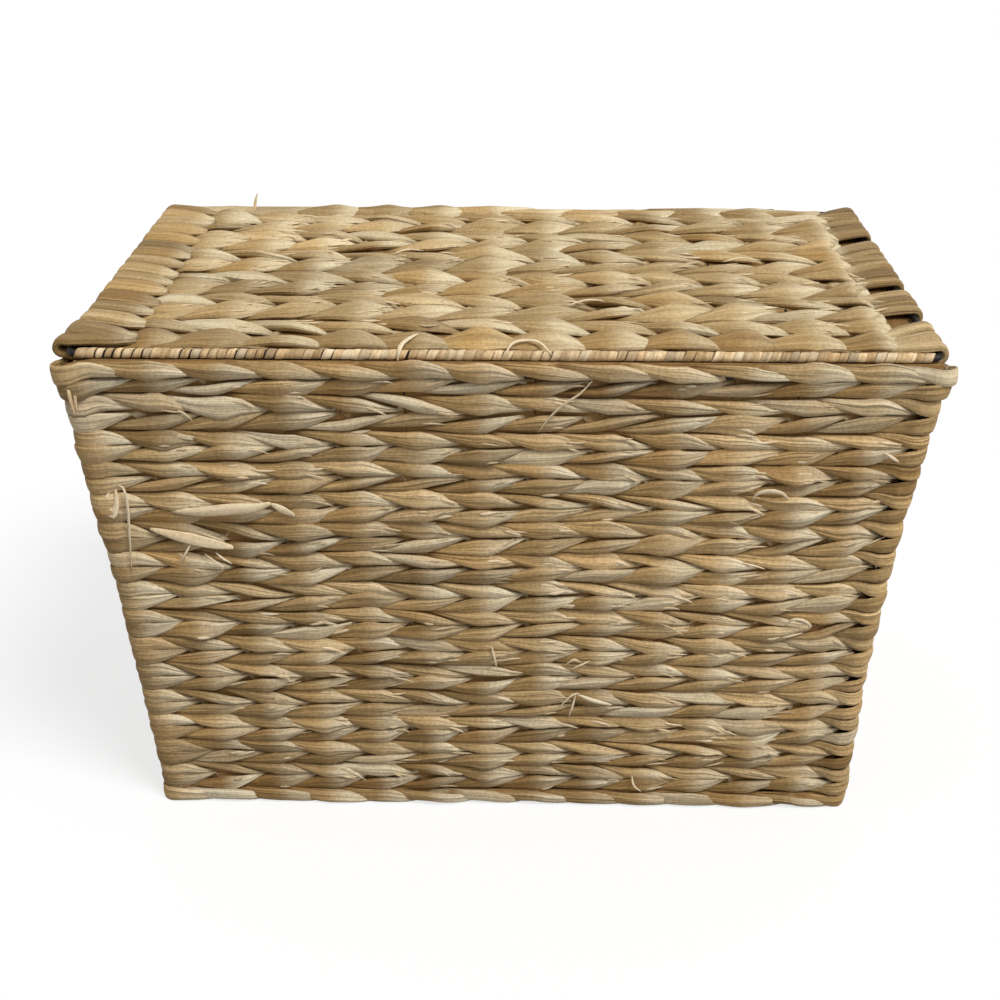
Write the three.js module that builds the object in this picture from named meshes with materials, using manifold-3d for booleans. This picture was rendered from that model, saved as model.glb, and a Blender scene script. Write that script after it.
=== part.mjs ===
// A lidded storage basket, twined from flat dried stems on an iron wire frame.
// Millimetres, +Z up, the front faces -Y, and the origin is on the floor under the middle of the basket.
import * as THREE from 'three';
import { mergeVertices } from 'three/addons/utils/BufferGeometryUtils.js';
import Module from 'manifold-3d';

const wasm = await Module();
wasm.setup();

// Walls and floor, measured over the weave
const RIM_WIDTH = 400;
const RIM_DEPTH = 240;
const FOOT_WIDTH = 360;
const FOOT_DEPTH = 200;
const WALL_HEIGHT = 255;
const WALL_THICKNESS = 10;
const BASE_THICKNESS = 13;
const CORNER_ROUND = 9.5;

// How far the right wall and its two corners bow in at half height
const RIGHT_WALL_BOW = 5.5;

// Lid, measured over the weave; it lies flush with the rim all round
const LID_THICKNESS = 9;
const LID_BORDER_WIDTH = 26;

// Iron wire diameters
const FRAME_WIRE = 4;
const LID_WIRE = 3.2;
const STAKE_WIRE = 2.2;

// The rings and posts run close under the outside of the walls, and show at the rounded corners
const FRAME_WIRE_INSET = 3;

// Bend radius of the rings on their centre line
const RING_BEND = 3;

// Weave over the rim wire and under the foot ring
const RIM_COVER = 2;
const FOOT_COVER = 2;

// How many wires stand between the corners; the lid's wires line up with the long stakes
const LONG_STAKE_COUNT = 12;
const CROSS_STAKE_COUNT = 7;

// Fibre wound round the lid's front wire
const WHIP_FIBRE = 1.2;
const WHIP_TURNS = 24;

// Wire loops that tie the lid's back wire to the rim
const LOOP_THICKNESS = 1;
const LOOP_WIDTH = 6;

// Leaves that the stems make on the front, between its two rings, and on top of the lid
const FRONT_LEAF_ROWS = 29;
const LID_LEAF_ROWS = 13;
const LEAF_LEAN = 7;

// Weave left over a stake's tunnel in the deepest gap between leaves, and over the crown of each leaf
const LEAF_COVER = 0.6;
const CROWN_DEPTH = 0.1;

// How deep it is between two leaves of neighbouring rows, as a share of the deepest gap
const ROW_DEPTH_SHARE = 0.8;

// How far the leaves' field runs out past its last row, and how far it clears the face there
const LEAF_FIELD_EDGE = 1;
const LEAF_FIELD_RISE = 0.4;

// Fits
const WEAVE_CLEARANCE = 0.3;
const BUTT_CLEARANCE = 0.3;
const LID_SEAT_GAP = 0.5;
const HINGE_CLEARANCE = 0.3;
const NOTCH_CLEARANCE = 1;
const STAKE_LAYER_GAP = 0.8;
const STAKE_PASS_CLEARANCE = 1;

// Facets
const WIRE_SIDES = 8;
const STAKE_SIDES = 6;
const STAKE_TUNNEL_SIDES = 4;
const FIBRE_SIDES = 5;
const WHIP_STEPS = 8;
const BEND_STEPS = 3;
const ROUND_STEPS = 4;
const BOW_STEPS = 6;
const NOSE_STEPS = 8;
const LOOP_STEPS = 6;

// Least gap that the wound fibre keeps to itself
const LEAST_WINDING_GAP = 0.4;

// Sizes that follow from the ones above
const frameRadius = FRAME_WIRE / 2;
const lidWireRadius = LID_WIRE / 2;
const stakeRadius = STAKE_WIRE / 2;
const fibreRadius = WHIP_FIBRE / 2;
const rimWireHeight = WALL_HEIGHT - RIM_COVER - frameRadius;
const footWireHeight = FOOT_COVER + frameRadius;
const crossStakeHeight = BASE_THICKNESS / 2 - stakeRadius - STAKE_LAYER_GAP / 2;
const longStakeHeight = BASE_THICKNESS / 2 + stakeRadius + STAKE_LAYER_GAP / 2;
const stakeTopHeight = rimWireHeight - frameRadius - BUTT_CLEARANCE;
const lidUnderside = WALL_HEIGHT + LID_SEAT_GAP;
const lidTop = lidUnderside + LID_THICKNESS;
const lidMiddle = lidUnderside + LID_THICKNESS / 2;
const whipRadius = (lidWireRadius + WEAVE_CLEARANCE + fibreRadius) / Math.cos(Math.PI / WHIP_STEPS);
const whipReach = whipRadius + fibreRadius;
const lidSideWire = RIM_WIDTH / 2 - LID_THICKNESS / 2;
const lidBackWire = RIM_DEPTH / 2 - LID_THICKNESS / 2;
const lidFrontWire = -RIM_DEPTH / 2 + whipReach;
const lidWeaveFront = lidFrontWire + whipReach + BUTT_CLEARANCE;

// The loops sit midway between the two outermost stakes
const loopOffset = lidSideWire * (1 - 3 / (LONG_STAKE_COUNT + 1));

// The bend with which a cross stake turns under the floor and still passes the foot ring
const passReach = frameRadius + stakeRadius + STAKE_PASS_CLEARANCE;
const passRise = crossStakeHeight - footWireHeight;
const passSlack = passReach - passRise;
const stakeBend = passSlack + Math.sqrt(passSlack ** 2 + passReach ** 2 - passRise ** 2);

// Half the outside width and depth of the tapered walls at a height
const halfWidthAt = (z) => THREE.MathUtils.lerp(FOOT_WIDTH, RIM_WIDTH, z / WALL_HEIGHT) / 2;
const halfDepthAt = (z) => THREE.MathUtils.lerp(FOOT_DEPTH, RIM_DEPTH, z / WALL_HEIGHT) / 2;

// Half the width on the left (-1) or the right (1), where the wall bows in
const bowAt = (z) => 4 * RIGHT_WALL_BOW * (z / WALL_HEIGHT) * (1 - z / WALL_HEIGHT);
const endReachAt = (side, z) => halfWidthAt(z) - (side > 0 ? bowAt(z) : 0);

// Half the depth in the middle of the walls, where the stakes run
const stakeHalfDepthAt = (z) => halfDepthAt(z) - WALL_THICKNESS / 2;

// Heights in even steps from one to another, both included
const heightsBetween = (low, high, steps) => (
  Array.from({ length: steps + 1 }, (_, i) => THREE.MathUtils.lerp(low, high, i / steps))
);

const ironWire = new THREE.MeshStandardMaterial({ color: 0x17130f, roughness: 0.5, metalness: 0.6 });
const wallStems = new THREE.MeshStandardMaterial({ color: 0x907958, roughness: 0.85, metalness: 0 });
const lidStems = new THREE.MeshStandardMaterial({ color: 0xb49b74, roughness: 0.85, metalness: 0 });
const paleFibre = new THREE.MeshStandardMaterial({ color: 0xc2a67a, roughness: 0.9, metalness: 0 });

// A path through given stations, one step from each to the next
class StationPath extends THREE.Curve {
  constructor(stations) {
    super();
    this.stations = stations;
  }

  getPointAt(u, target = new THREE.Vector3()) {
    return target.copy(this.stations[Math.round(u * (this.stations.length - 1))]);
  }

  // Halfway between the directions of the steps before and after a station
  getTangentAt(u, target = new THREE.Vector3()) {
    const last = this.stations.length - 1;
    const here = Math.round(u * last);
    const stepFrom = (i) => this.stations[i + 1].clone().sub(this.stations[i]).normalize();
    return target.copy(stepFrom(Math.max(here - 1, 0))).add(stepFrom(Math.min(here, last - 1))).normalize();
  }
}

// Stations along straight runs joined by round bends
function bentStations(corners, bendRadius) {
  const stations = [corners[0]];
  for (let i = 1; i < corners.length - 1; i += 1) {
    const back = corners[i - 1].clone().sub(corners[i]).normalize();
    const ahead = corners[i + 1].clone().sub(corners[i]).normalize();
    const halfOpening = back.angleTo(ahead) / 2;
    const inward = back.clone().add(ahead).normalize();
    const centre = corners[i].clone().addScaledVector(inward, bendRadius / Math.sin(halfOpening));
    const tangentLength = bendRadius / Math.tan(halfOpening);
    const start = corners[i].clone().addScaledVector(back, tangentLength).sub(centre);
    const axis = back.clone().negate().cross(ahead).normalize();
    const sweep = Math.PI - 2 * halfOpening;
    for (let step = 0; step <= BEND_STEPS; step += 1) {
      const spoke = start.clone().applyAxisAngle(axis, (sweep * step) / BEND_STEPS);
      stations.push(centre.clone().add(spoke));
    }
  }
  stations.push(corners[corners.length - 1]);
  return stations;
}

// A round rod of flat facets along stations; extra widens it by a clearance over its flats
function rodAlong(stations, diameter, sides, extra = 0) {
  const radius = diameter / 2 + extra / Math.cos(Math.PI / sides);
  const section = new THREE.Shape();
  for (let i = 0; i < sides; i += 1) {
    const angle = (2 * Math.PI * (i + 0.5)) / sides;
    const x = radius * Math.cos(angle);
    const y = radius * Math.sin(angle);
    if (i === 0) section.moveTo(x, y);
    else section.lineTo(x, y);
  }
  section.closePath();
  return new THREE.ExtrudeGeometry(section, {
    steps: stations.length - 1,
    bevelEnabled: false,
    extrudePath: new StationPath(stations),
  });
}

// A closed body through level outlines that all have the same number of points; each level tells on
// which of its two diagonals its faces are split
function loft(outlineAt, heights, splitsBack = () => false) {
  const outlines = heights.map(outlineAt);
  const count = outlines[0].length;
  const top = count * (heights.length - 1);
  const levelPositions = (outline, level) => outline.flatMap(({ x, y }) => [x, y, heights[level]]);
  const positions = outlines.flatMap(levelPositions);
  const triangles = [];
  THREE.ShapeUtils.triangulateShape(outlines[0], []).forEach(([a, b, c]) => {
    triangles.push(c, b, a, a + top, b + top, c + top);
  });
  for (let level = 0; level < heights.length - 1; level += 1) {
    for (let i = 0; i < count; i += 1) {
      const low = level * count + i;
      const next = level * count + ((i + 1) % count);
      if (splitsBack(level)) triangles.push(low, next, low + count, next, next + count, low + count);
      else triangles.push(low, next, next + count, low, next + count, low + count);
    }
  }
  const geometry = new THREE.BufferGeometry();
  geometry.setAttribute('position', new THREE.Float32BufferAttribute(positions, 3));
  geometry.setIndex(triangles);
  return geometry;
}

// An outline drawn in Y and Z, pulled along X between two planes
function pulledAlongX(outline, lowX, highX) {
  const geometry = new THREE.ExtrudeGeometry(outline, { depth: highX - lowX, bevelEnabled: false });
  const turn = new THREE.Matrix4().makeBasis(
    new THREE.Vector3(0, 1, 0),
    new THREE.Vector3(0, 0, 1),
    new THREE.Vector3(1, 0, 0),
  );
  return geometry.applyMatrix4(turn).translate(lowX, 0, 0);
}

// An outline drawn in X and Z, pulled along Y between two planes
function pulledAlongY(outline, lowY, highY) {
  const geometry = new THREE.ExtrudeGeometry(outline, { depth: highY - lowY, bevelEnabled: false });
  return geometry.rotateX(Math.PI / 2).translate(0, highY, 0);
}

function block(low, high) {
  const size = high.clone().sub(low);
  const middle = high.clone().add(low).divideScalar(2);
  return new THREE.BoxGeometry(size.x, size.y, size.z).translate(middle.x, middle.y, middle.z);
}

function solidFrom(geometry) {
  const bare = geometry.clone();
  bare.deleteAttribute('normal');
  bare.deleteAttribute('uv');
  const merged = mergeVertices(bare);
  return new wasm.Manifold(
    new wasm.Mesh({
      numProp: 3,
      vertProperties: new Float32Array(merged.attributes.position.array),
      triVerts: new Uint32Array(merged.index.array),
    }),
  );
}

function geometryFrom(solid) {
  const mesh = solid.getMesh();
  const geometry = new THREE.BufferGeometry();
  geometry.setAttribute('position', new THREE.Float32BufferAttribute(mesh.vertProperties, 3));
  geometry.setIndex([...mesh.triVerts]);
  geometry.computeVertexNormals();
  return geometry;
}

function cutAway(geometry, cutters) {
  const remove = (solid, cutter) => solid.subtract(solidFrom(cutter));
  return geometryFrom(cutters.reduce(remove, solidFrom(geometry)));
}

function commonPart(geometry, other) {
  return geometryFrom(solidFrom(geometry).intersect(solidFrom(other)));
}

const basket = new THREE.Group();

function addPiece(name, geometry, material) {
  const mesh = new THREE.Mesh(geometry, material);
  mesh.name = name;
  basket.add(mesh);
}

// A wire's own shape, and the wider shape of the tunnel that it leaves in the weave
function frameWire(stations, diameter, tunnelStations = stations) {
  return {
    shape: rodAlong(stations, diameter, WIRE_SIDES),
    tunnel: rodAlong(tunnelStations, diameter, WIRE_SIDES, WEAVE_CLEARANCE),
  };
}

// A stake's tunnel is square, with the round stake touching none of its four sides
function stakeWire(stations, tunnelStations) {
  const tunnelDiameter = STAKE_WIRE / Math.cos(Math.PI / STAKE_TUNNEL_SIDES);
  return {
    shape: rodAlong(stations, STAKE_WIRE, STAKE_SIDES),
    tunnel: rodAlong(tunnelStations, tunnelDiameter, STAKE_TUNNEL_SIDES, WEAVE_CLEARANCE),
  };
}

// Bent iron ring in a level plane, butt joined at the middle of its back run
function wireRing(halfWidth, frontY, backY, z, diameter) {
  const corners = [
    new THREE.Vector3(BUTT_CLEARANCE / 2, backY, z),
    new THREE.Vector3(halfWidth, backY, z),
    new THREE.Vector3(halfWidth, frontY, z),
    new THREE.Vector3(-halfWidth, frontY, z),
    new THREE.Vector3(-halfWidth, backY, z),
    new THREE.Vector3(-BUTT_CLEARANCE / 2, backY, z),
  ];
  return frameWire(bentStations(corners, RING_BEND), diameter);
}

function wallRing(z) {
  const halfWidth = halfWidthAt(z) - FRAME_WIRE_INSET;
  const halfDepth = halfDepthAt(z) - FRAME_WIRE_INSET;
  return wireRing(halfWidth, -halfDepth, halfDepth, z, FRAME_WIRE);
}

// Upright between the bends of the two rings; its tunnel runs on into theirs
function cornerPost(sideX, sideY) {
  const inset = FRAME_WIRE_INSET + RING_BEND * (1 - Math.SQRT1_2);
  const at = (z) => new THREE.Vector3(
    sideX * (endReachAt(sideX, z) - inset),
    sideY * (halfDepthAt(z) - inset),
    z,
  );
  const footHeight = footWireHeight + frameRadius + BUTT_CLEARANCE;
  const stations = heightsBetween(footHeight, stakeTopHeight, sideX > 0 ? BOW_STEPS : 1).map(at);
  return frameWire(stations, FRAME_WIRE, [at(footWireHeight), ...stations, at(rimWireHeight)]);
}

// U-shaped wire down one wall, under the floor and in legSteps steps up the wall opposite
function uStake(pointAt, baseHeight, legSteps) {
  const [firstRise, ...otherRises] = heightsBetween(baseHeight, stakeTopHeight, legSteps).slice(1);
  const corners = [
    pointAt(-1, stakeTopHeight),
    pointAt(-1, baseHeight),
    pointAt(1, baseHeight),
    pointAt(1, firstRise),
  ];
  const stations = [...bentStations(corners, stakeBend), ...otherRises.map((z) => pointAt(1, z))];
  return stakeWire(stations, [pointAt(-1, rimWireHeight), ...stations, pointAt(1, rimWireHeight)]);
}

// Share of the half width at which each of a row of stakes stands
function stakeShares(count) {
  return Array.from({ length: count }, (_, i) => (2 * (i + 1)) / (count + 1) - 1);
}

function longStake(share) {
  const reachAt = (z) => halfWidthAt(z) - WALL_THICKNESS / 2;
  const pointAt = (side, z) => new THREE.Vector3(share * reachAt(z), side * stakeHalfDepthAt(z), z);
  return uStake(pointAt, longStakeHeight, 1);
}

function crossStake(share) {
  const reachAt = (side, z) => endReachAt(side, z) - WALL_THICKNESS / 2;
  const pointAt = (side, z) => new THREE.Vector3(side * reachAt(side, z), share * stakeHalfDepthAt(z), z);
  return uStake(pointAt, crossStakeHeight, BOW_STEPS);
}

const longStakes = stakeShares(LONG_STAKE_COUNT).map(longStake);
const crossStakes = stakeShares(CROSS_STAKE_COUNT).map(crossStake);
const topRing = wallRing(rimWireHeight);
const footRing = wallRing(footWireHeight);
const posts = {
  front_left: cornerPost(-1, -1),
  front_right: cornerPost(1, -1),
  back_left: cornerPost(-1, 1),
  back_right: cornerPost(1, 1),
};

// Hinge loops: the outline that wraps two circles in the plane of Y and Z
function wrappedOutline(lowCentre, lowRadius, highCentre, highRadius, path) {
  const along = highCentre.clone().sub(lowCentre);
  const lean = along.angle();
  const spread = Math.acos((lowRadius - highRadius) / along.length());
  const points = [];
  const addArc = (centre, radius, firstAngle, sweep) => {
    for (let i = 0; i <= LOOP_STEPS; i += 1) {
      const angle = firstAngle + (sweep * i) / LOOP_STEPS;
      points.push(new THREE.Vector2(Math.cos(angle), Math.sin(angle)).multiplyScalar(radius).add(centre));
    }
  };
  addArc(highCentre, highRadius, lean - spread, 2 * spread);
  addArc(lowCentre, lowRadius, lean + spread, 2 * (Math.PI - spread));
  return path.setFromPoints(points);
}

const rimWireSpot = new THREE.Vector2(halfDepthAt(rimWireHeight) - FRAME_WIRE_INSET, rimWireHeight);
const hingeSpot = new THREE.Vector2(lidBackWire, lidMiddle);
const loopRimBore = (frameRadius + HINGE_CLEARANCE) / Math.cos(Math.PI / (2 * LOOP_STEPS));
const loopLidBore = (lidWireRadius + HINGE_CLEARANCE) / Math.cos(Math.PI / (2 * LOOP_STEPS));
const loopRimReach = loopRimBore + LOOP_THICKNESS;
const loopLidReach = loopLidBore + LOOP_THICKNESS;

function hingeLoop(middleX) {
  const outline = wrappedOutline(rimWireSpot, loopRimReach, hingeSpot, loopLidReach, new THREE.Shape());
  outline.holes.push(wrappedOutline(rimWireSpot, loopRimBore, hingeSpot, loopLidBore, new THREE.Path()));
  return pulledAlongX(outline, middleX - LOOP_WIDTH / 2, middleX + LOOP_WIDTH / 2);
}

// Room for a loop in the back wall and in the lid, through the whole thickness of each
function wallNotch(middleX) {
  const reach = LOOP_WIDTH / 2 + NOTCH_CLEARANCE;
  const floorZ = rimWireHeight - loopRimReach - NOTCH_CLEARANCE;
  const outerY = halfDepthAt(WALL_HEIGHT) + NOTCH_CLEARANCE;
  const innerY = halfDepthAt(floorZ) - WALL_THICKNESS - NOTCH_CLEARANCE;
  return block(
    new THREE.Vector3(middleX - reach, innerY, floorZ),
    new THREE.Vector3(middleX + reach, outerY, WALL_HEIGHT + NOTCH_CLEARANCE),
  );
}

function lidNotch(middleX) {
  const reach = LOOP_WIDTH / 2 + NOTCH_CLEARANCE;
  const lean = Math.abs(hingeSpot.x - rimWireSpot.x);
  const frontY = lidBackWire - Math.max(loopLidReach, loopRimReach) - lean - NOTCH_CLEARANCE;
  return block(
    new THREE.Vector3(middleX - reach, frontY, lidUnderside - NOTCH_CLEARANCE),
    new THREE.Vector3(middleX + reach, RIM_DEPTH / 2 + NOTCH_CLEARANCE, lidTop + NOTCH_CLEARANCE),
  );
}

const loopPlaces = { left: -loopOffset, right: loopOffset };
const wallNotches = Object.values(loopPlaces).map(wallNotch);
const lidNotches = Object.values(loopPlaces).map(lidNotch);

// Front or back wall: full width, with its outer upright corners rounded; drawn as the front, then turned
function broadWallOutline(side, z) {
  const low = endReachAt(side, z);
  const high = endReachAt(-side, z);
  const depth = halfDepthAt(z);
  const round = Math.min(CORNER_ROUND, WALL_THICKNESS);
  const outline = new THREE.Shape();
  outline.moveTo(high, -depth + WALL_THICKNESS);
  outline.lineTo(-low, -depth + WALL_THICKNESS);
  outline.absarc(-low + round, -depth + round, round, Math.PI, 1.5 * Math.PI);
  outline.absarc(high - round, -depth + round, round, 1.5 * Math.PI, 2 * Math.PI);
  const points = outline.getPoints(ROUND_STEPS);
  const turn = side < 0 ? 0 : Math.PI;
  return points.map((point) => point.rotateAround(new THREE.Vector2(), turn));
}

// Left or right wall: it stands between the front and the back wall
function endWallOutline(side, z) {
  const outer = endReachAt(side, z);
  const inner = outer - WALL_THICKNESS;
  const reach = halfDepthAt(z) - WALL_THICKNESS - BUTT_CLEARANCE;
  const corners = [[inner, -reach], [outer, -reach], [outer, reach], [inner, reach]];
  return corners.map(([x, y]) => new THREE.Vector2(side * x, side * y));
}

function floorOutline(z) {
  const reachX = (side) => endReachAt(side, z) - WALL_THICKNESS - BUTT_CLEARANCE;
  const reachY = halfDepthAt(z) - WALL_THICKNESS - BUTT_CLEARANCE;
  const corners = [[-1, -1], [1, -1], [1, 1], [-1, 1]];
  return corners.map(([x, y]) => new THREE.Vector2(x * reachX(x), y * reachY));
}

// Cutter that leaves a row of leaves on every stake standing on a flat face. It is drawn for the front wall:
// the field gives the face's y, its reach to each side and that of the stakes at a height, the heights
// between which it lies, its count of rows and its deepest gap. Rows lean right and left by turns.
function leafCutter(field) {
  const rowLines = heightsBetween(field.low, field.high, 2 * field.rows);
  const lines = [field.low - LEAF_FIELD_EDGE, ...rowLines, field.high + LEAF_FIELD_EDGE];
  const lastLine = lines.length - 1;
  const steps = Array.from({ length: 2 * LONG_STAKE_COUNT + 1 }, (_, i) => LONG_STAKE_COUNT - i);
  const onStake = (step) => (step + LONG_STAKE_COUNT) % 2 !== 0;

  // Counted from the lower edge, even lines run along the middle of a row and odd ones between two rows
  const onMiddle = (line) => line % 2 === 0 && line > 0 && line < lastLine;
  const leansRight = (line) => Math.floor((line - 1) / 2) % 2 === 0;

  const depthAt = (step, line) => {
    if (onMiddle(line)) return onStake(step) ? CROWN_DEPTH : field.depth;
    const depth = onStake(step) ? field.depth * ROW_DEPTH_SHARE : field.depth;
    const onEdge = line === 0 || line === lastLine;
    return onEdge ? depth - field.depth - LEAF_FIELD_RISE : depth;
  };

  const outlineAt = (height, line) => {
    const face = field.faceAt(height);
    const right = field.reachAt(1, height);
    const left = -field.reachAt(-1, height);
    const outside = face - field.depth;
    const leafPoint = (step) => {
      const middle = (step / (LONG_STAKE_COUNT + 1)) * field.stakeReachAt(height);
      const room = Math.min(right - middle, middle - left) / 2;
      const lean = onMiddle(line) ? 0 : Math.min(LEAF_LEAN, room) * (leansRight(line) ? -1 : 1);
      return new THREE.Vector2(middle + lean, face + depthAt(step, line));
    };
    return [
      new THREE.Vector2(left, outside),
      new THREE.Vector2(right, outside),
      new THREE.Vector2(right, face - LEAF_FIELD_RISE),
      ...steps.map(leafPoint),
      new THREE.Vector2(left, face - LEAF_FIELD_RISE),
    ];
  };
  return loft(outlineAt, lines, leansRight);
}

// Deepest gap between leaves on a weave whose stakes run in the middle of its thickness
const leafDepth = (thickness) => thickness / 2 - stakeRadius - WEAVE_CLEARANCE - LEAF_COVER;
const ringCover = frameRadius + WEAVE_CLEARANCE + LEAF_COVER + LEAF_FIELD_EDGE;

const frontLeaves = leafCutter({
  faceAt: (z) => -halfDepthAt(z),
  reachAt: (side, z) => endReachAt(side, z) - Math.min(CORNER_ROUND, WALL_THICKNESS),
  stakeReachAt: (z) => halfWidthAt(z) - WALL_THICKNESS / 2,
  low: footWireHeight + ringCover,
  high: rimWireHeight - ringCover,
  rows: FRONT_LEAF_ROWS,
  depth: leafDepth(WALL_THICKNESS),
});

const tunnels = (wires) => wires.map((each) => each.tunnel);
const ringTunnels = tunnels([topRing, footRing]);
const frontTunnels = tunnels([posts.front_left, posts.front_right, ...longStakes]);
const backTunnels = tunnels([posts.back_left, posts.back_right, ...longStakes]);
const sideTunnels = tunnels(crossStakes);

function wall(outlineAt, cutters) {
  return cutAway(loft(outlineAt, heightsBetween(0, WALL_HEIGHT, BOW_STEPS)), cutters);
}

addPiece(
  'front_weave',
  wall((z) => broadWallOutline(-1, z), [frontLeaves, ...ringTunnels, ...frontTunnels]),
  wallStems,
);
addPiece(
  'back_weave',
  wall((z) => broadWallOutline(1, z), [...ringTunnels, ...backTunnels, ...wallNotches]),
  wallStems,
);
addPiece('left_weave', wall((z) => endWallOutline(-1, z), [...ringTunnels, ...sideTunnels]), wallStems);
addPiece('right_weave', wall((z) => endWallOutline(1, z), [...ringTunnels, ...sideTunnels]), wallStems);
addPiece(
  'base_weave',
  cutAway(
    loft(floorOutline, [0, BASE_THICKNESS]),
    tunnels([...longStakes, ...crossStakes]),
  ),
  wallStems,
);

addPiece('top_rim_wire', topRing.shape, ironWire);
addPiece('base_rim_wire', footRing.shape, ironWire);
Object.entries(posts).forEach(([corner, post]) => addPiece(`corner_post_${corner}`, post.shape, ironWire));

const numbered = (name, index, digits) => `${name}_${String(index + 1).padStart(digits, '0')}`;
longStakes.forEach((stake, i) => addPiece(numbered('long_stake', i, 2), stake.shape, ironWire));
crossStakes.forEach((stake, i) => addPiece(numbered('cross_stake', i, 1), stake.shape, ironWire));
Object.entries(loopPlaces).forEach(([side, x]) => addPiece(`hinge_loop_${side}`, hingeLoop(x), ironWire));

// The lid's section: square at the front and round about the back wire, so that it turns clear of the rim
function lidSection() {
  const outline = new THREE.Shape();
  outline.moveTo(lidWeaveFront, lidUnderside);
  outline.lineTo(lidBackWire, lidUnderside);
  outline.absarc(lidBackWire, lidMiddle, LID_THICKNESS / 2, -Math.PI / 2, Math.PI / 2);
  outline.lineTo(lidWeaveFront, lidTop);
  outline.closePath();
  return new THREE.Shape(outline.getPoints(NOSE_STEPS));
}

// A border's section: square where it meets the panel and round about the side wire
function borderSection(side) {
  const inner = RIM_WIDTH / 2 - LID_BORDER_WIDTH;
  const outline = new THREE.Shape();
  outline.moveTo(side * inner, lidUnderside);
  outline.lineTo(side * lidSideWire, lidUnderside);
  const end = side > 0 ? Math.PI / 2 : -1.5 * Math.PI;
  outline.absarc(side * lidSideWire, lidMiddle, LID_THICKNESS / 2, -Math.PI / 2, end, side < 0);
  outline.lineTo(side * inner, lidTop);
  outline.closePath();
  return new THREE.Shape(outline.getPoints(NOSE_STEPS));
}

const lidRing = wireRing(lidSideWire, lidFrontWire, lidBackWire, lidMiddle, LID_WIRE);

function lidStake(share) {
  const at = (y) => new THREE.Vector3(share * lidSideWire, y, lidMiddle);
  const backEnd = lidBackWire - lidWireRadius - BUTT_CLEARANCE;
  return stakeWire([at(lidWeaveFront), at(backEnd)], [at(lidFrontWire), at(lidBackWire)]);
}

const lidStakes = stakeShares(LONG_STAKE_COUNT).map(lidStake);
const lidPanelReach = RIM_WIDTH / 2 - LID_BORDER_WIDTH - BUTT_CLEARANCE;
const lidPanel = pulledAlongX(lidSection(), -lidPanelReach, lidPanelReach);

// Drawn as on a wall, then laid down on the lid; the first and the last row run out over its edges
const lidLeaves = leafCutter({
  faceAt: () => -lidTop,
  reachAt: () => lidSideWire,
  stakeReachAt: () => lidSideWire,
  low: lidWeaveFront - LEAF_FIELD_EDGE,
  high: RIM_DEPTH / 2 + LEAF_FIELD_EDGE,
  rows: LID_LEAF_ROWS,
  depth: leafDepth(LID_THICKNESS),
}).rotateX(-Math.PI / 2);
const lidTunnels = tunnels([lidRing, ...lidStakes]);
addPiece('lid_weave', cutAway(lidPanel, [lidLeaves, ...lidTunnels, ...lidNotches]), lidStems);

Object.entries({ left: -1, right: 1 }).forEach(([name, side]) => {
  const band = pulledAlongY(borderSection(side), lidWeaveFront, RIM_DEPTH / 2);
  const lidOutline = pulledAlongX(lidSection(), -RIM_WIDTH / 2, RIM_WIDTH / 2);
  addPiece(`lid_${name}_border`, cutAway(commonPart(band, lidOutline), [lidRing.tunnel]), lidStems);
});

addPiece('lid_frame_wire', lidRing.shape, ironWire);
lidStakes.forEach((stake, i) => addPiece(numbered('lid_stake', i, 2), stake.shape, ironWire));

// Whipping: out of the weave over the wire, round it, and back into the weave under it
function whippingStations() {
  const reach = lidSideWire - RING_BEND - WHIP_FIBRE;
  const firstAngle = Math.PI / 2;
  const lastAngle = 2 * Math.PI * WHIP_TURNS - Math.PI / 2;
  const steps = WHIP_STEPS * WHIP_TURNS - WHIP_STEPS / 2;
  const tailEnd = lidWeaveFront - BUTT_CLEARANCE;
  const stations = [new THREE.Vector3(-reach, tailEnd, lidMiddle + whipRadius)];
  for (let step = 0; step <= steps; step += 1) {
    const share = step / steps;
    const angle = THREE.MathUtils.lerp(firstAngle, lastAngle, share);
    stations.push(new THREE.Vector3(
      THREE.MathUtils.lerp(-reach, reach, share),
      lidFrontWire + whipRadius * Math.cos(angle),
      lidMiddle + whipRadius * Math.sin(angle),
    ));
  }
  stations.push(new THREE.Vector3(reach, tailEnd, lidMiddle - whipRadius));
  return stations;
}

// Least distance between points that are half a turn or more apart, less the fibre's own thickness
function leastGap(stations, thickness) {
  let least = Infinity;
  for (let i = 0; i < stations.length; i += 1) {
    for (let j = i + WHIP_STEPS / 2; j < stations.length; j += 1) {
      least = Math.min(least, stations[i].distanceTo(stations[j]));
    }
  }
  return least - thickness;
}

const whipping = whippingStations();
const windingGap = leastGap(whipping, WHIP_FIBRE);
const verdict = windingGap > LEAST_WINDING_GAP ? 'clear' : 'too close';
console.log(`lid_front_whipping: least gap to itself ${windingGap.toFixed(2)} mm, ${verdict}`);
addPiece('lid_front_whipping', rodAlong(whipping, WHIP_FIBRE, FIBRE_SIDES), paleFibre);

export default basket;
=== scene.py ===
"""Looks of a twined storage basket with a hinged lid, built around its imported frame."""

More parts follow.
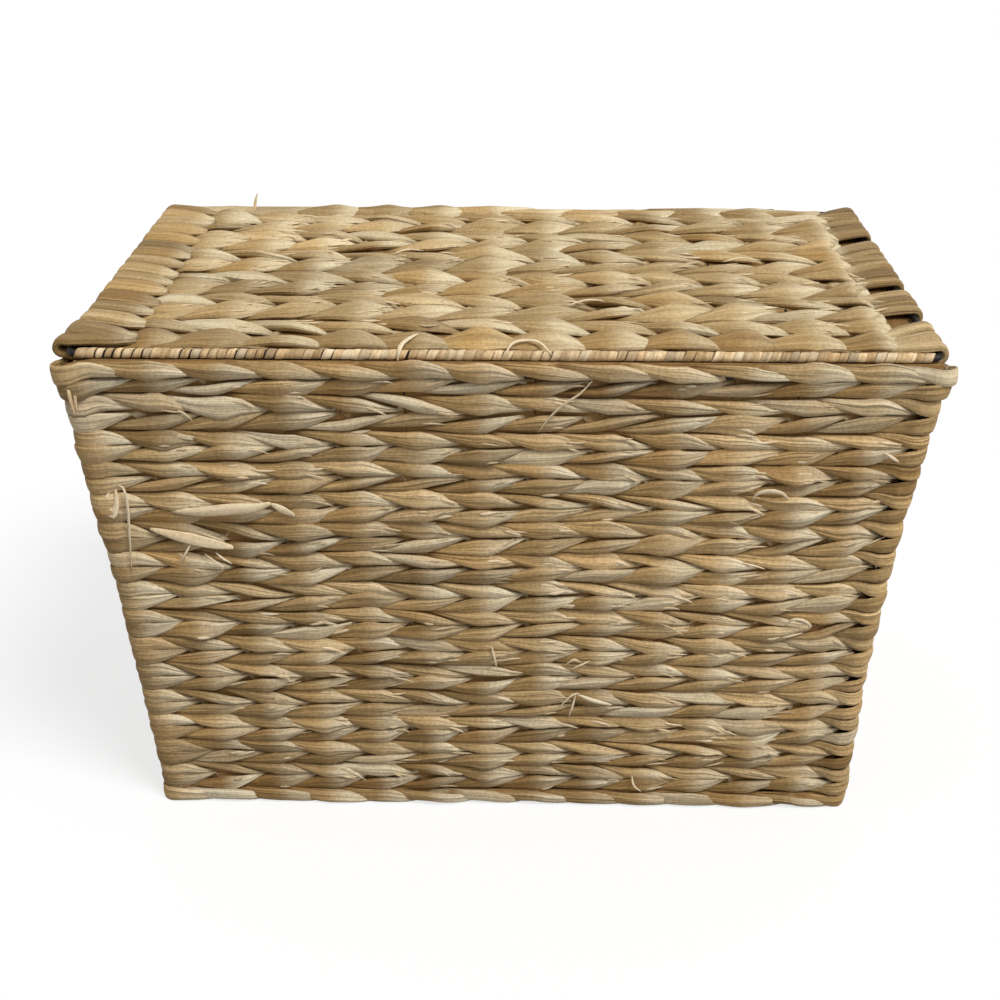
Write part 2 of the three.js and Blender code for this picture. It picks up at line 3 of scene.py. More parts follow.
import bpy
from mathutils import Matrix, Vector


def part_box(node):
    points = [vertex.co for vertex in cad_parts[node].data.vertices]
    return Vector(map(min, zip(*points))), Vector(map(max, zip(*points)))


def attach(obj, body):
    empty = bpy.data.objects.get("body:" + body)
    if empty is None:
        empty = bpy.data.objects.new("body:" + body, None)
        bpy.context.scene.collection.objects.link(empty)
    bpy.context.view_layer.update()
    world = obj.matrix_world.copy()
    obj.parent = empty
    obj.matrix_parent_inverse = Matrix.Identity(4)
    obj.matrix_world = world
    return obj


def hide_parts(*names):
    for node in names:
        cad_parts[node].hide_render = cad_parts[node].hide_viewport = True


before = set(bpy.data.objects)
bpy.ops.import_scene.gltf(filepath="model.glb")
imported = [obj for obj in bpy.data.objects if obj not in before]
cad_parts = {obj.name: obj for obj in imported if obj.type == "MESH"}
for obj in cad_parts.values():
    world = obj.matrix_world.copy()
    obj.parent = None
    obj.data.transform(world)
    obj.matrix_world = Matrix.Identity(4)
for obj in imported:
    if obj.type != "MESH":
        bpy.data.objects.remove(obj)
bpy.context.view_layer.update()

import copy
import logging
import math
from collections.abc import Sequence
from dataclasses import dataclass, field, replace
from enum import Enum

import bpy
import numpy as np
from bpy.types import Material, Node, NodeTree
from bpy.types import NodeSocket as Socket
from mathutils import Euler, Vector

LOG = logging.getLogger("basket")

MM = 0.001
UV_NAME = "stem"
IMAGE_WIDTH = 1000
RIGHT = np.array([1.0, 0.0, 0.0])
BACK = np.array([0.0, 1.0, 0.0])
UP = np.array([0.0, 0.0, 1.0])

Array = np.ndarray
Rgba = tuple[float, float, float, float]
Place = tuple[float, float, float]
Pair = tuple[float, float]
Twine = dict[str, np.ndarray]


class Body(Enum):
    """The two bodies that pieces ride on."""

    BASKET = "basket"
    LID = "lid"


class Slot(Enum):
    """The record's material slots."""

    WALL_STEMS = "wall_stems"
    LID_STEMS = "lid_stems"
    PALE_FIBRE = "pale_fibre"
    IRON_WIRE = "iron_wire"


class Lay(Enum):
    """Which way the tips of a row point, seen from outside with the row running to the right."""

    FALLING = 1
    RISING = -1


def smooth_step(low: float, high: float, values: Array) -> Array:
    """Ease from 0 to 1 between two limits.

    Args:
        low: Value at which the ease starts.
        high: Value at which it ends.
        values: Values to ease.

    Returns:
        Eased values from 0 to 1.
    """
    share = np.clip((values - low) / (high - low), 0.0, 1.0)
    return share * share * (3.0 - 2.0 * share)


def unit(vectors: Array) -> Array:
    """Return the vectors at length one."""
    return vectors / np.linalg.norm(vectors, axis=-1, keepdims=True)


def linear(red: int, green: int, blue: int) -> Rgba:
    """Turn a screen colour of 0 to 255 into the linear colour that a shader takes.

    Args:
        red: Red share.
        green: Green share.
        blue: Blue share.

    Returns:
        Linear colour with an alpha of one.
    """
    shares = [channel / 255 for channel in (red, green, blue)]
    curve = [s / 12.92 if s <= 0.04045 else ((s + 0.055) / 1.055) ** 2.4 for s in shares]
    return (curve[0], curve[1], curve[2], 1.0)


# Nodes and finishes


@dataclass
class NodeSketch:
    """Short hand for placing and wiring shader nodes."""

    tree: NodeTree

    def add(self, kind: str, inputs: dict[str | int, object] | None = None, **settings: object) -> Node:
        """Place a node.

        Args:
            kind: Blender's node type.
            inputs: Values or output sockets by input name or index.
            settings: Properties of the node.

        Returns:
            The new node.
        """
        node = self.tree.nodes.new(kind)
        for name, value in settings.items():
            setattr(node, name, value)
        for key, value in (inputs or {}).items():
            self.feed(node.inputs[key], value)
        return node

    def feed(self, socket: Socket, value: object) -> None:
        """Link an output socket to an input, or set the input's own value.

        Args:
            socket: The input.
            value: The output socket or the value.
        """
        if isinstance(value, Socket):
            self.tree.links.new(value, socket)
        else:
            socket.default_value = value

    def math(self, operation: str, first: object, second: object = 0.0) -> Socket:
        """Return the result of a math node on two values or sockets."""
        node = self.add("ShaderNodeMath", {0: first, 1: second}, operation=operation)
        return node.outputs[0]

    def ranged(self, value: object, limits: Pair, results: Pair) -> Socket:
        """Map a value from one range to another, held at its ends.

        Args:
            value: Socket to map.
            limits: Low and high end of what comes in.
            results: What the two ends become.

        Returns:
            The mapped value.
        """
        names = ("From Min", "From Max", "To Min", "To Max")
        inputs = {"Value": value, **dict(zip(names, (*limits, *results)))}
        return self.add("ShaderNodeMapRange", inputs).outputs["Result"]

    def mixed(self, factor: object, first: object, second: object, blend: str = "MIX") -> Socket:
        """Mix two colours.

        Args:
            factor: Share of the second colour.
            first: First colour.
            second: Second colour.
            blend: How the second colour is laid over the first.

        Returns:
            The mixed colour.
        """
        node = self.add("ShaderNodeMix", data_type="RGBA", blend_type=blend)
        for socket, value in ((node.inputs[0], factor), (node.inputs[6], first), (node.inputs[7], second)):
            self.feed(socket, value)
        return node.outputs[2]

    def attribute(self, name: str) -> Socket:
        """Return a number that the mesh keeps for each point."""
        return self.add("ShaderNodeAttribute", attribute_name=name).outputs["Fac"]


def new_group(name: str, inputs: dict[str, str], outputs: dict[str, str]) -> tuple[NodeSketch, Node, Node]:
    """Start a shader node group.

    Args:
        name: The group's name.
        inputs: Socket types by input name.
        outputs: Socket types by output name.

    Returns:
        The sketch of its tree, its input node and its output node.
    """
    tree = bpy.data.node_groups.new(name, "ShaderNodeTree")
    for socket, kind in inputs.items():
        tree.interface.new_socket(name=socket, in_out="INPUT", socket_type=kind)
    for socket, kind in outputs.items():
        tree.interface.new_socket(name=socket, in_out="OUTPUT", socket_type=kind)
    sketch = NodeSketch(tree)
    return sketch, sketch.add("NodeGroupInput"), sketch.add("NodeGroupOutput")


def new_material(name: str) -> tuple[Material, NodeSketch, Node]:
    """Start a material.

    Args:
        name: The material's name.

    Returns:
        The material, the sketch of its tree and its shader.
    """
    made = bpy.data.materials.new(name)
    made.use_nodes = True
    return made, NodeSketch(made.node_tree), made.node_tree.nodes["Principled BSDF"]


NUMBER = "NodeSocketFloat"
COLOUR = "NodeSocketColor"
WHITE = (1.0, 1.0, 1.0, 1.0)
WHOLE = (0.0, 1.0)
STEM_STEP = 7.31


def fibre_group() -> NodeTree:
    """Make the group for the fibres that run along a stem.

    Returns:
        The group, which gives fine streaks, broad creases and small scars.
    """
    inputs = {"Along": NUMBER, "Across": NUMBER}
    outputs = {"Streak": NUMBER, "Crease": NUMBER, "Scar": NUMBER}
    sketch, given, result = new_group("stem_fibres", inputs, outputs)
    on_stem = sketch.add("ShaderNodeUVMap", uv_map=UV_NAME).outputs[0]
    place = sketch.add("ShaderNodeSeparateXYZ", {0: on_stem})
    along = sketch.math("MULTIPLY", place.outputs["X"], given.outputs["Along"])
    across = sketch.math("MULTIPLY", place.outputs["Y"], given.outputs["Across"])
    stem = sketch.math("MULTIPLY", sketch.attribute("stem_number"), STEM_STEP)
    vector = sketch.add("ShaderNodeCombineXYZ", {"X": along, "Y": across, "Z": stem}).outputs[0]
    noises = {
        "Streak": ({"Scale": 1.0, "Detail": 3.0}, (0.3, 0.7)),
        "Crease": ({"Scale": 0.28, "Detail": 1.0}, (0.32, 0.68)),
        "Scar": ({"Scale": 0.9, "Detail": 2.0, "Distortion": 1.2}, (0.66, 0.74)),
    }
    for name, (settings, limits) in noises.items():
        noise = sketch.add("ShaderNodeTexNoise", {"Vector": vector, **settings})
        sketch.feed(result.inputs[name], sketch.ranged(noise.outputs[0], limits, WHOLE))
    return sketch.tree


def stem_colour_group() -> NodeTree:
    """Make the group for a dried stem's colour.

    Returns:
        The group, which tints each stem by itself, pales its tips, and darkens it with scars and with
        painted shade where it lies deep in the weave.
    """
    colours = {"Straw": COLOUR, "Ochre": COLOUR, "Grey": COLOUR, "Pale": COLOUR, "Dark": COLOUR}
    numbers = {"Streak": NUMBER, "Crease": NUMBER, "Scar": NUMBER, "Tip Share": NUMBER}
    sketch, given, result = new_group("stem_colour", {**colours, **numbers}, {"Color": COLOUR})
    tint = sketch.attribute("tint")
    warm = sketch.ranged(tint, (0.5, 1.0), (0.0, 0.9))
    cool = sketch.ranged(tint, (0.5, 0.05), (0.0, 0.8))
    colour = sketch.mixed(warm, given.outputs["Straw"], given.outputs["Ochre"])
    colour = sketch.mixed(cool, colour, given.outputs["Grey"])
    place = sketch.add("ShaderNodeTexCoord").outputs["Object"]
    mottle = sketch.add("ShaderNodeTexNoise", {"Vector": place, "Scale": 55.0, "Detail": 2.0}).outputs[0]
    speckle = sketch.add("ShaderNodeTexNoise", {"Vector": place, "Scale": 620.0, "Detail": 2.0}).outputs[0]
    colour = sketch.mixed(sketch.ranged(mottle, (0.35, 0.65), (0.0, 0.3)), colour, given.outputs["Grey"])
    bright = sketch.ranged(sketch.attribute("tone"), WHOLE, (0.56, 1.46))
    for value, limits, results in (
        (given.outputs["Streak"], WHOLE, (0.76, 1.18)),
        (given.outputs["Crease"], WHOLE, (0.8, 1.12)),
        (speckle, (0.3, 0.7), (0.84, 1.16)),
    ):
        bright = sketch.math("MULTIPLY", bright, sketch.ranged(value, limits, results))
    channels = {
        "Red": bright,
        "Green": sketch.math("POWER", bright, 1.15),
        "Blue": sketch.math("POWER", bright, 1.5),
    }
    shade = sketch.add("ShaderNodeCombineColor", channels).outputs[0]
    colour = sketch.mixed(1.0, colour, shade, "MULTIPLY")
    scarred = sketch.math("MULTIPLY", given.outputs["Scar"], 0.55)
    colour = sketch.mixed(scarred, colour, given.outputs["Dark"])
    tip = sketch.math("MULTIPLY", sketch.attribute("tip"), given.outputs["Tip Share"])
    tip = sketch.math("MULTIPLY", tip, sketch.ranged(given.outputs["Crease"], (0.2, 0.8), (0.65, 1.0)))
    tip = sketch.math("MULTIPLY", tip, sketch.ranged(speckle, (0.35, 0.6), (0.75, 1.0)))
    colour = sketch.mixed(tip, colour, given.outputs["Pale"])
    # Painted shade: points deep in the weave and the fill stems behind it are mixed towards the dark colour;
    # on the whipping the same share darkens turns at random.
    hidden = sketch.ranged(sketch.attribute("hollow"), WHOLE, (0.0, 0.86))
    colour = sketch.mixed(hidden, colour, given.outputs["Dark"])
    sketch.feed(result.inputs["Color"], colour)
    return sketch.tree


@dataclass(frozen=True)
class StemFinish:
    """Finish of dried plant stems."""

    name: str
    straw: Rgba
    ochre: Rgba
    grey: Rgba
    pale: Rgba
    dark: Rgba
    tip_share: float
    along: float = 0.9
    across: float = 24.0
    relief: float = 1.1 * MM

    def material(self) -> Material:
        """Make the material.

        Returns:
            A material that reads each stem's own tint, tone and place along it.
        """
        made, sketch, shader = new_material(self.name)
        fibres = sketch.add("ShaderNodeGroup", node_tree=bpy.data.node_groups["stem_fibres"])
        fibres.inputs["Along"].default_value = self.along
        fibres.inputs["Across"].default_value = self.across
        colour = sketch.add("ShaderNodeGroup", node_tree=bpy.data.node_groups["stem_colour"])
        for socket in ("Straw", "Ochre", "Grey", "Pale", "Dark"):
            colour.inputs[socket].default_value = getattr(self, socket.lower())
        colour.inputs["Tip Share"].default_value = self.tip_share
        for socket in ("Streak", "Crease", "Scar"):
            sketch.feed(colour.inputs[socket], fibres.outputs[socket])
        sketch.feed(shader.inputs["Base Color"], colour.outputs["Color"])
        sketch.feed(shader.inputs["Roughness"], sketch.ranged(fibres.outputs["Streak"], WHOLE, (0.78, 0.6)))
        shader.inputs["Specular IOR Level"].default_value = 0.3
        height = sketch.math("MULTIPLY", fibres.outputs["Streak"], 0.45)
        height = sketch.math("ADD", height, fibres.outputs["Crease"])
        bump = sketch.add("ShaderNodeBump", {"Height": height, "Strength": 0.8, "Distance": self.relief})
        sketch.feed(shader.inputs["Normal"], bump.outputs[0])
        return made


@dataclass(frozen=True)
class WireFinish:
    """Finish of black painted iron wire."""

    name: str = "black_iron_wire"
    paint: Rgba = linear(24, 20, 18)
    worn: Rgba = linear(74, 58, 46)
    relief: float = 0.2 * MM

    def material(self) -> Material:
        """Make the material.

        Returns:
            A dull black material with small rusty wear.
        """
        made, sketch, shader = new_material(self.name)
        place = sketch.add("ShaderNodeTexCoord").outputs["Object"]
        grain = sketch.add("ShaderNodeTexNoise", {"Vector": place, "Scale": 420.0, "Detail": 4.0}).outputs[0]
        wear = sketch.ranged(grain, (0.56, 0.7), (0.0, 0.8))
        sketch.feed(shader.inputs["Base Color"], sketch.mixed(wear, self.paint, self.worn))
        sketch.feed(shader.inputs["Roughness"], sketch.ranged(grain, (0.3, 0.7), (0.38, 0.7)))
        shader.inputs["Metallic"].default_value = 0.0
        shader.inputs["Specular IOR Level"].default_value = 0.25
        bump = sketch.add("ShaderNodeBump", {"Height": grain, "Strength": 0.4, "Distance": self.relief})
        sketch.feed(shader.inputs["Normal"], bump.outputs[0])
        return made


WALL_STEMS = StemFinish(
    name="wall_stems",
    straw=linear(198, 163, 109),
    ochre=linear(190, 148, 90),
    grey=linear(180, 151, 107),
    pale=linear(255, 242, 209),
    dark=linear(146, 107, 58),
    tip_share=0.95,
)
LID_STEMS = StemFinish(
    name="lid_stems",
    straw=linear(188, 156, 104),
    ochre=linear(186, 144, 78),
    grey=linear(168, 142, 100),
    pale=linear(255, 241, 203),
    dark=linear(136, 101, 55),
    tip_share=0.95,
    across=34.0,
)
PALE_FIBRE = StemFinish(
    name="pale_fibre",
    straw=linear(226, 193, 144),
    ochre=linear(204, 162, 106),
    grey=linear(204, 175, 132),
    pale=linear(250, 236, 204),
    dark=linear(120, 88, 54),
    tip_share=0.95,
    across=10.0,
    relief=0.3 * MM,
)
SPLIT_FIBRE = replace(PALE_FIBRE, name="split_fibre", across=3.0, relief=0.03 * MM)


# Swept stems


@dataclass
class StemRun:
    """Stems swept along stations: arrays with one row for each stem and one column for each station."""

    centres: Array
    across: Array
    outward: Array
    half_width: Array
    half_thickness: Array
    along: Array
    tone: Array
    tint: Array
    tip: Array
    hollow: Array
    # Share of the dark colour mixed in: painted shade where a stem lies deep in the weave or fills behind
    # it, and random dark tone on the whipping.
    skew: Array

    @classmethod
    def spread(cls, centres: Array, across: Array, outward: Array, **given: object) -> "StemRun":
        """Make a run from values that are spread over all its stations.

        Args:
            centres: Middle of each stem, by stem and station.
            across: Direction of its width there.
            outward: Direction of its thickness there.
            given: The other fields, each of which is zero where it isn't given.

        Returns:
            The run.
        """
        directions = {"across": across, "outward": outward}
        spread = {name: np.broadcast_to(values, centres.shape) for name, values in directions.items()}
        for name in ("half_width", "half_thickness", "along", "tone", "tint", "tip", "hollow", "skew"):
            spread[name] = np.broadcast_to(given.get(name, 0.0), centres.shape[:2])
        return cls(centres=centres, **spread)


@dataclass
class StemMesh:
    """A mesh gathered from swept stems."""

    name: str
    sides: int = 10
    squareness: float = 0.88
    runs: list[StemRun] = field(default_factory=list)

    def section(self) -> tuple[Array, Array]:
        """Work out the section, which is a little squarer than an ellipse.

        Returns:
            Its points across and outward, as shares of its half sizes.
        """
        angles = 2 * np.pi * np.arange(self.sides) / self.sides
        flat = np.abs(np.cos(angles)) ** self.squareness * np.sign(np.cos(angles))
        high = np.abs(np.sin(angles)) ** self.squareness * np.sign(np.sin(angles))
        return flat, high

    def points(self, run: StemRun) -> Array:
        """Work out a run's points.

        Args:
            run: The stems.

        Returns:
            Points by stem, station and place round the section.
        """
        flat, high = self.section()
        crown = high * (1.0 + run.skew[..., None] * flat)
        aside = run.across[..., None, :] * (run.half_width[..., None] * flat)[..., None]
        above = run.outward[..., None, :] * (run.half_thickness[..., None] * crown)[..., None]
        return run.centres[..., None, :] + aside + above

    def quads(self, stems: int, stations: int) -> Array:
        """Work out the faces of a run.

        Args:
            stems: How many stems it has.
            stations: How many stations each has.

        Returns:
            Four point numbers for each face, the closed ends included.
        """
        turn = np.arange(self.sides)
        onward = (turn + 1) % self.sides
        ring = np.arange(stations - 1)[:, None] * self.sides
        next_ring = ring + self.sides
        tube = np.stack([ring + turn, ring + onward, next_ring + onward, next_ring + turn], axis=-1)
        strip = np.arange(self.sides // 2 - 1)
        end = np.stack([strip, self.sides - 1 - strip, self.sides - 2 - strip, strip + 1], axis=-1)
        far = end[:, ::-1] + (stations - 1) * self.sides
        one = np.concatenate([tube.reshape(-1, 4), end, far])
        return (one[None] + (np.arange(stems) * stations * self.sides)[:, None, None]).reshape(-1, 4)

    def build(self, material: Material, body: Body, slot: Slot, replaced: Sequence[str] = ()) -> None:
        """Make the object, and set it on its body.

        Args:
            material: Its material.
            body: The body that it rides on.
            slot: The record's material slot. Not used.
            replaced: The nodes that it stands for.
        """
        points, quads, start = [], [], 0
        for run in self.runs:
            made = self.points(run)
            points.append(made.reshape(-1, 3))
            quads.append(self.quads(*made.shape[:2]) + start)
            start += len(points[-1])
        mesh = bpy.data.meshes.new(self.name)
        mesh.from_pydata(np.concatenate(points), [], np.concatenate(quads))
        self.keep_numbers(mesh)
        self.keep_places(mesh)
        mesh.shade_smooth()
        mesh.materials.append(material)
        piece = bpy.data.objects.new(self.name, mesh)
        bpy.context.scene.collection.objects.link(piece)
        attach(piece, body.value)
        if replaced:
            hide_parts(*replaced)
        LOG.info("%s: %d faces on %s", self.name, len(mesh.polygons), body.value)

    def keep_numbers(self, mesh: bpy.types.Mesh) -> None:
        """Keep each stem's tone, tint, tip, shade and number on the mesh.

        Args:
            mesh: The mesh made from the runs.
        """
        number = 0
        kept_names = ("tone", "tint", "tip", "hollow")
        columns: dict[str, list[Array]] = {name: [] for name in (*kept_names, "stem_number")}
        for run in self.runs:
            stems, stations = run.tone.shape
            numbers = np.broadcast_to(number + np.arange(stems)[:, None], run.tone.shape)
            number += stems
            looks = {name: getattr(run, name) for name in kept_names}
            for name, values in (*looks.items(), ("stem_number", numbers)):
                columns[name].append(np.repeat(values.reshape(-1), self.sides))
        for name, parts in columns.items():
            kept = mesh.attributes.new(name, "FLOAT", "POINT")
            kept.data.foreach_set("value", np.concatenate(parts).astype(np.float32))

    def keep_places(self, mesh: bpy.types.Mesh) -> None:
        """Keep each corner's place along and round its stem as texture coordinates.

        Args:
            mesh: The mesh made from the runs.
        """
        along = np.concatenate([np.repeat(run.along.reshape(-1), self.sides) for run in self.runs])
        corners = np.zeros(len(mesh.loops), np.int32)
        mesh.loops.foreach_get("vertex_index", corners)
        turn = (corners % self.sides).reshape(-1, 4)
        round_share = turn / self.sides
        wraps = (turn.max(axis=1) - turn.min(axis=1)) == self.sides - 1
        round_share = np.where(wraps[:, None] & (turn == 0), 1.0, round_share)
        layer = mesh.uv_layers.new(name=UV_NAME)
        places = np.stack([along[corners], round_share.reshape(-1)], axis=-1)
        layer.data.foreach_set("uv", places.astype(np.float32).reshape(-1))


# Twined rows


@dataclass(frozen=True)
class TwineShape:
    """Form of a pair of stems twisted round stakes.

    Widths are shares of the row's height. Places are shares of the space between two stakes, counted from
    the stake that the leaf lies over. A lead over one puts the highest place nearer to the tip, the sway is
    how far root and tip lie towards the two edges of the row, and a hug of one or minus one keeps the stems
    to the upper or the lower edge of their row. The facing turns falling leaves up and rising leaves down,
    and falling leaves stand ahead of rising ones by a share of the depth. A leaf turns pale over the places
    of its paling, hands its tint to the next one of its stem over those of its handover, and is shaded where
    its depth is less than the shade's share.
    """

    depth: float
    half_thickness: float
    crown: float = 0.54
    root: float = 0.1
    tip: float = 0.04
    start: float = -0.88
    crown_start: float = 0.12
    crown_end: float = 0.24
    end: float = 0.93
    root_power: float = 1.25
    tip_power: float = 1.0
    lead: float = 1.35
    sway: float = 0.95
    hug: float = 0.0
    thin: float = 0.55
    firmness: float = 1.5
    facing: float = math.radians(5)
    # Painted light: falling leaves, which face up, are made lighter and rising ones darker.
    lay_painted_light: float = 0.08
    ahead: float = -0.02
    width_spread: float = 0.18
    depth_spread: float = 0.24
    rise_spread: float = 0.09
    end_spread: float = 0.07
    lean_spread: float = 0.2
    turn: float = 6.0
    back_power: float = 0.4
    handover: Pair = (0.75, 1.25)
    paling: Pair = (-0.05, 0.55)
    shade: float = 0.6
    tip_shade: float = 0.2


@dataclass
class LeafDraws:
    """Random differences between the leaves, drawn for each row and stake."""

    rows: int
    stakes: int
    seed: int
    run_length: int = 5
    limit: float = 2.0
    tilt_spread: float = math.radians(9)
    least_tip: float = 0.2
    ochre_share: float = 0.07
    ochre_tint: float = 0.35
    stem_share: float = 0.35
    bleached_share: float = 0.1
    steadiness: float = 0.2

    def __post_init__(self) -> None:
        """Draw every number once, in a fixed order."""
        rng = np.random.default_rng(self.seed)
        shape = (self.rows, self.stakes)

        def limited() -> Array:
            """Draw a limited difference for each leaf."""
            return np.clip(rng.normal(0.0, 1.0, shape), -self.limit, self.limit)

        self.width, self.depth, self.rise = limited(), limited(), limited()
        self.start, self.end, self.lean = limited(), limited(), limited()
        self.skew = rng.uniform(-0.5, 0.5, shape)
        self.tilt = rng.normal(0.0, self.tilt_spread, shape)
        self.tip = self.least_tip + (1 - self.least_tip) * rng.uniform(0.0, 1.0, shape)
        stems = (self.rows, self.stakes // self.run_length + 2)
        stem_tint = 0.5 + rng.normal(0.0, 0.13, stems)
        stem_tint = stem_tint + self.ochre_tint * (rng.uniform(0.0, 1.0, stems) > 1 - self.ochre_share)
        stem_tone = rng.uniform(0.0, 1.0, stems)
        offset = rng.integers(0, self.run_length, (self.rows, 1))
        number = (np.arange(self.stakes)[None] + offset) // self.run_length
        row = np.arange(self.rows)[:, None]
        self.tint = np.clip(stem_tint[row, number] + rng.normal(0.0, 0.1, shape), 0.0, 1.0)
        leaf_tone = rng.beta(2.0, 2.2, shape)
        self.tone = self.stem_share * stem_tone[row, number] + (1 - self.stem_share) * leaf_tone
        bleached = rng.uniform(0.0, 1.0, shape) > 1 - self.bleached_share
        self.bleach = np.where(bleached, rng.uniform(0.3, 0.8, shape), 0.0)

    def steady(self, stake: int) -> None:
        """Even out the leaves over one stake."""
        for values in (self.width, self.depth, self.rise, self.tilt):
            values[:, stake] *= self.steadiness

    def pick(self, rows: Array) -> "LeafDraws":
        """Pick some of the rows.

        Args:
            rows: Their numbers.

        Returns:
            The draws of those rows.
        """
        picked = copy.copy(self)
        for name, values in vars(self).items():
            if isinstance(values, Array):
                setattr(picked, name, values[rows])
        return picked


def twined(shape: TwineShape, draws: LeafDraws, heights: Array, lays: Array, u: Array) -> Twine:
    """Work out both stems of each row, in the row's own directions.

    Args:
        shape: Form of the twine.
        draws: Differences between the leaves.
        heights: Height of each row.
        lays: Lay of each row, as a number.
        u: Stations, counted in stakes along the row.

    Returns:
        Arrays by row, stem and station: depth, rise, half_width, half_thickness, tilt and the stem's looks.
    """
    stem = np.arange(2)[:, None]
    leaf = 2 * np.floor((u[None] - stem + 1) / 2) + stem
    q = (u[None] - leaf)[None]
    place = np.mod(leaf.astype(int), draws.stakes)
    after = np.mod(place + 2, draws.stakes)
    before = np.mod(place - 2, draws.stakes)
    height = heights[:, None, None]
    start = shape.start + shape.end_spread * draws.start[:, place]
    end = shape.end + shape.end_spread * draws.end[:, place]
    last_end = shape.end + shape.end_spread * draws.end[:, before] - 2
    next_start = shape.start + shape.end_spread * draws.start[:, after] + 2
    shown = (q >= start) & (q <= end)
    inner_start = np.where(q > 0, end, last_end)
    inner_end = np.where(q > 0, next_start, start)
    inner = np.clip((q - inner_start) / (inner_end - inner_start), 0.0, 1.0)
    outer = np.clip((q - start) / (end - start), 0.0, 1.0)
    rooted = np.clip((q - start) / (shape.crown_start - start), 0.0, 1.0) ** shape.root_power
    tipped = 1 - np.clip((q - shape.crown_end) / (end - shape.crown_end), 0.0, 1.0) ** shape.tip_power
    crown = shape.crown * (1 + shape.width_spread * draws.width[:, place])
    low = np.where(q < shape.crown_start, shape.root, shape.tip)
    front_full = np.minimum(rooted, tipped)
    inner_low = shape.tip + (shape.root - shape.tip) * inner
    inner_full = np.clip(np.sin(np.pi * inner), 0.0, 1.0) ** shape.back_power
    front_share = low + (crown - low) * front_full
    width = np.where(shown, front_share, inner_low + (shape.crown - inner_low) * inner_full) * height
    full = np.where(shown, front_full, inner_full)
    turned = (shape.crown_start + shape.crown_end) / 2
    sway = np.where(shown, -np.tanh(shape.turn * (q - turned)), np.tanh(shape.turn * (2 * inner - 1)))
    lean = 1 + shape.lean_spread * draws.lean[:, place]
    swayed = shape.sway * sway * lean * lays[:, None, None]
    side = np.full_like(swayed, shape.hug) if shape.hug else swayed
    rise = np.maximum(0.5 * height - width, 0.0) * side
    rise = rise + np.where(shown, full, 0.0) * shape.rise_spread * draws.rise[:, place] * height
    swing = np.where(shown, np.sin(np.pi * outer**shape.lead), -np.sin(np.pi * inner))
    reach = np.tanh(shape.firmness * swing) / math.tanh(shape.firmness)
    spread = np.where(shown, full, 0.0) * shape.depth_spread * draws.depth[:, place]
    later = smooth_step(*shape.handover, q)
    earlier = smooth_step(*shape.handover, -q)

    def carried(values: Array) -> Array:
        """Carry a leaf's value along its stem, and ease it into the next leaf's behind the stakes."""
        eased = values[:, place] * (1 - later - earlier)
        return eased + values[:, after] * later + values[:, before] * earlier

    lay = lays[:, None, None]
    pale = np.where(shown, smooth_step(*shape.paling, q), 0.0) * draws.tip[:, place]
    # Painted shade: a stem is darkened where its depth out of the weave is small, and much less over the tip
    # half of a leaf that shows.
    shaded = 1 - smooth_step(0.0, shape.shade, np.abs(reach))
    return {
        "depth": shape.depth * reach * (1 + spread) * (1 + shape.ahead * lay),
        "rise": rise,
        "half_width": width,
        "half_thickness": shape.half_thickness * (shape.thin + (1 - shape.thin) * full),
        "tilt": np.where(shown, full, 0.0) * (draws.tilt[:, place] - shape.facing * lay),
        # Tone with painted light by lay: lighter falling leaves, darker rising ones.
        "tone": carried(draws.tone) + shape.lay_painted_light * lay,
        "tint": carried(draws.tint),
        "tip": np.maximum(pale, carried(draws.bleach)),
        "hollow": shaded * np.where(shown & (q > 0), shape.tip_shade, 1.0),
        "skew": carried(draws.skew),
    }


def laid_run(twine: Twine, origin: Array, across: Array, outward: Array, along: Array) -> StemRun:
    """Lay twined rows on a surface.

    Args:
        twine: What twined() gave.
        origin: Middle of each row, by row and station.
        across: Direction from row to row there.
        outward: Direction out of the surface there.
        along: Place along the rows, for the fibres.

    Returns:
        The run of all the stems.
    """
    tilt = twine["tilt"][..., None]
    side = np.broadcast_to(across[:, None], (*twine["rise"].shape, 3))
    out = np.broadcast_to(outward[:, None], side.shape)
    centres = origin[:, None] + side * twine["rise"][..., None] + out * twine["depth"][..., None]
    turned_side = side * np.cos(tilt) + out * np.sin(tilt)
    turned_out = out * np.cos(tilt) - side * np.sin(tilt)
    stations = centres.shape[2]
    flat = (values.reshape(-1, stations, 3) for values in (centres, turned_side, turned_out))
    names = ("half_width", "half_thickness", "tone", "tint", "tip", "hollow", "skew")
    numbers = {name: twine[name].reshape(-1, stations) for name in names}
    return StemRun.spread(*flat, along=along, **numbers)


def keep_inside(twine: Twine, least: float) -> None:
    """Hold a lining's stems at a least depth, and shade them where they would lie less deep.

    Args:
        twine: What twined() gave, which is changed.
        least: The least depth.
    """
    twine["hollow"] = np.where(twine["depth"] < least, 1.0, twine["hollow"])
    twine["depth"] = np.maximum(twine["depth"], least)


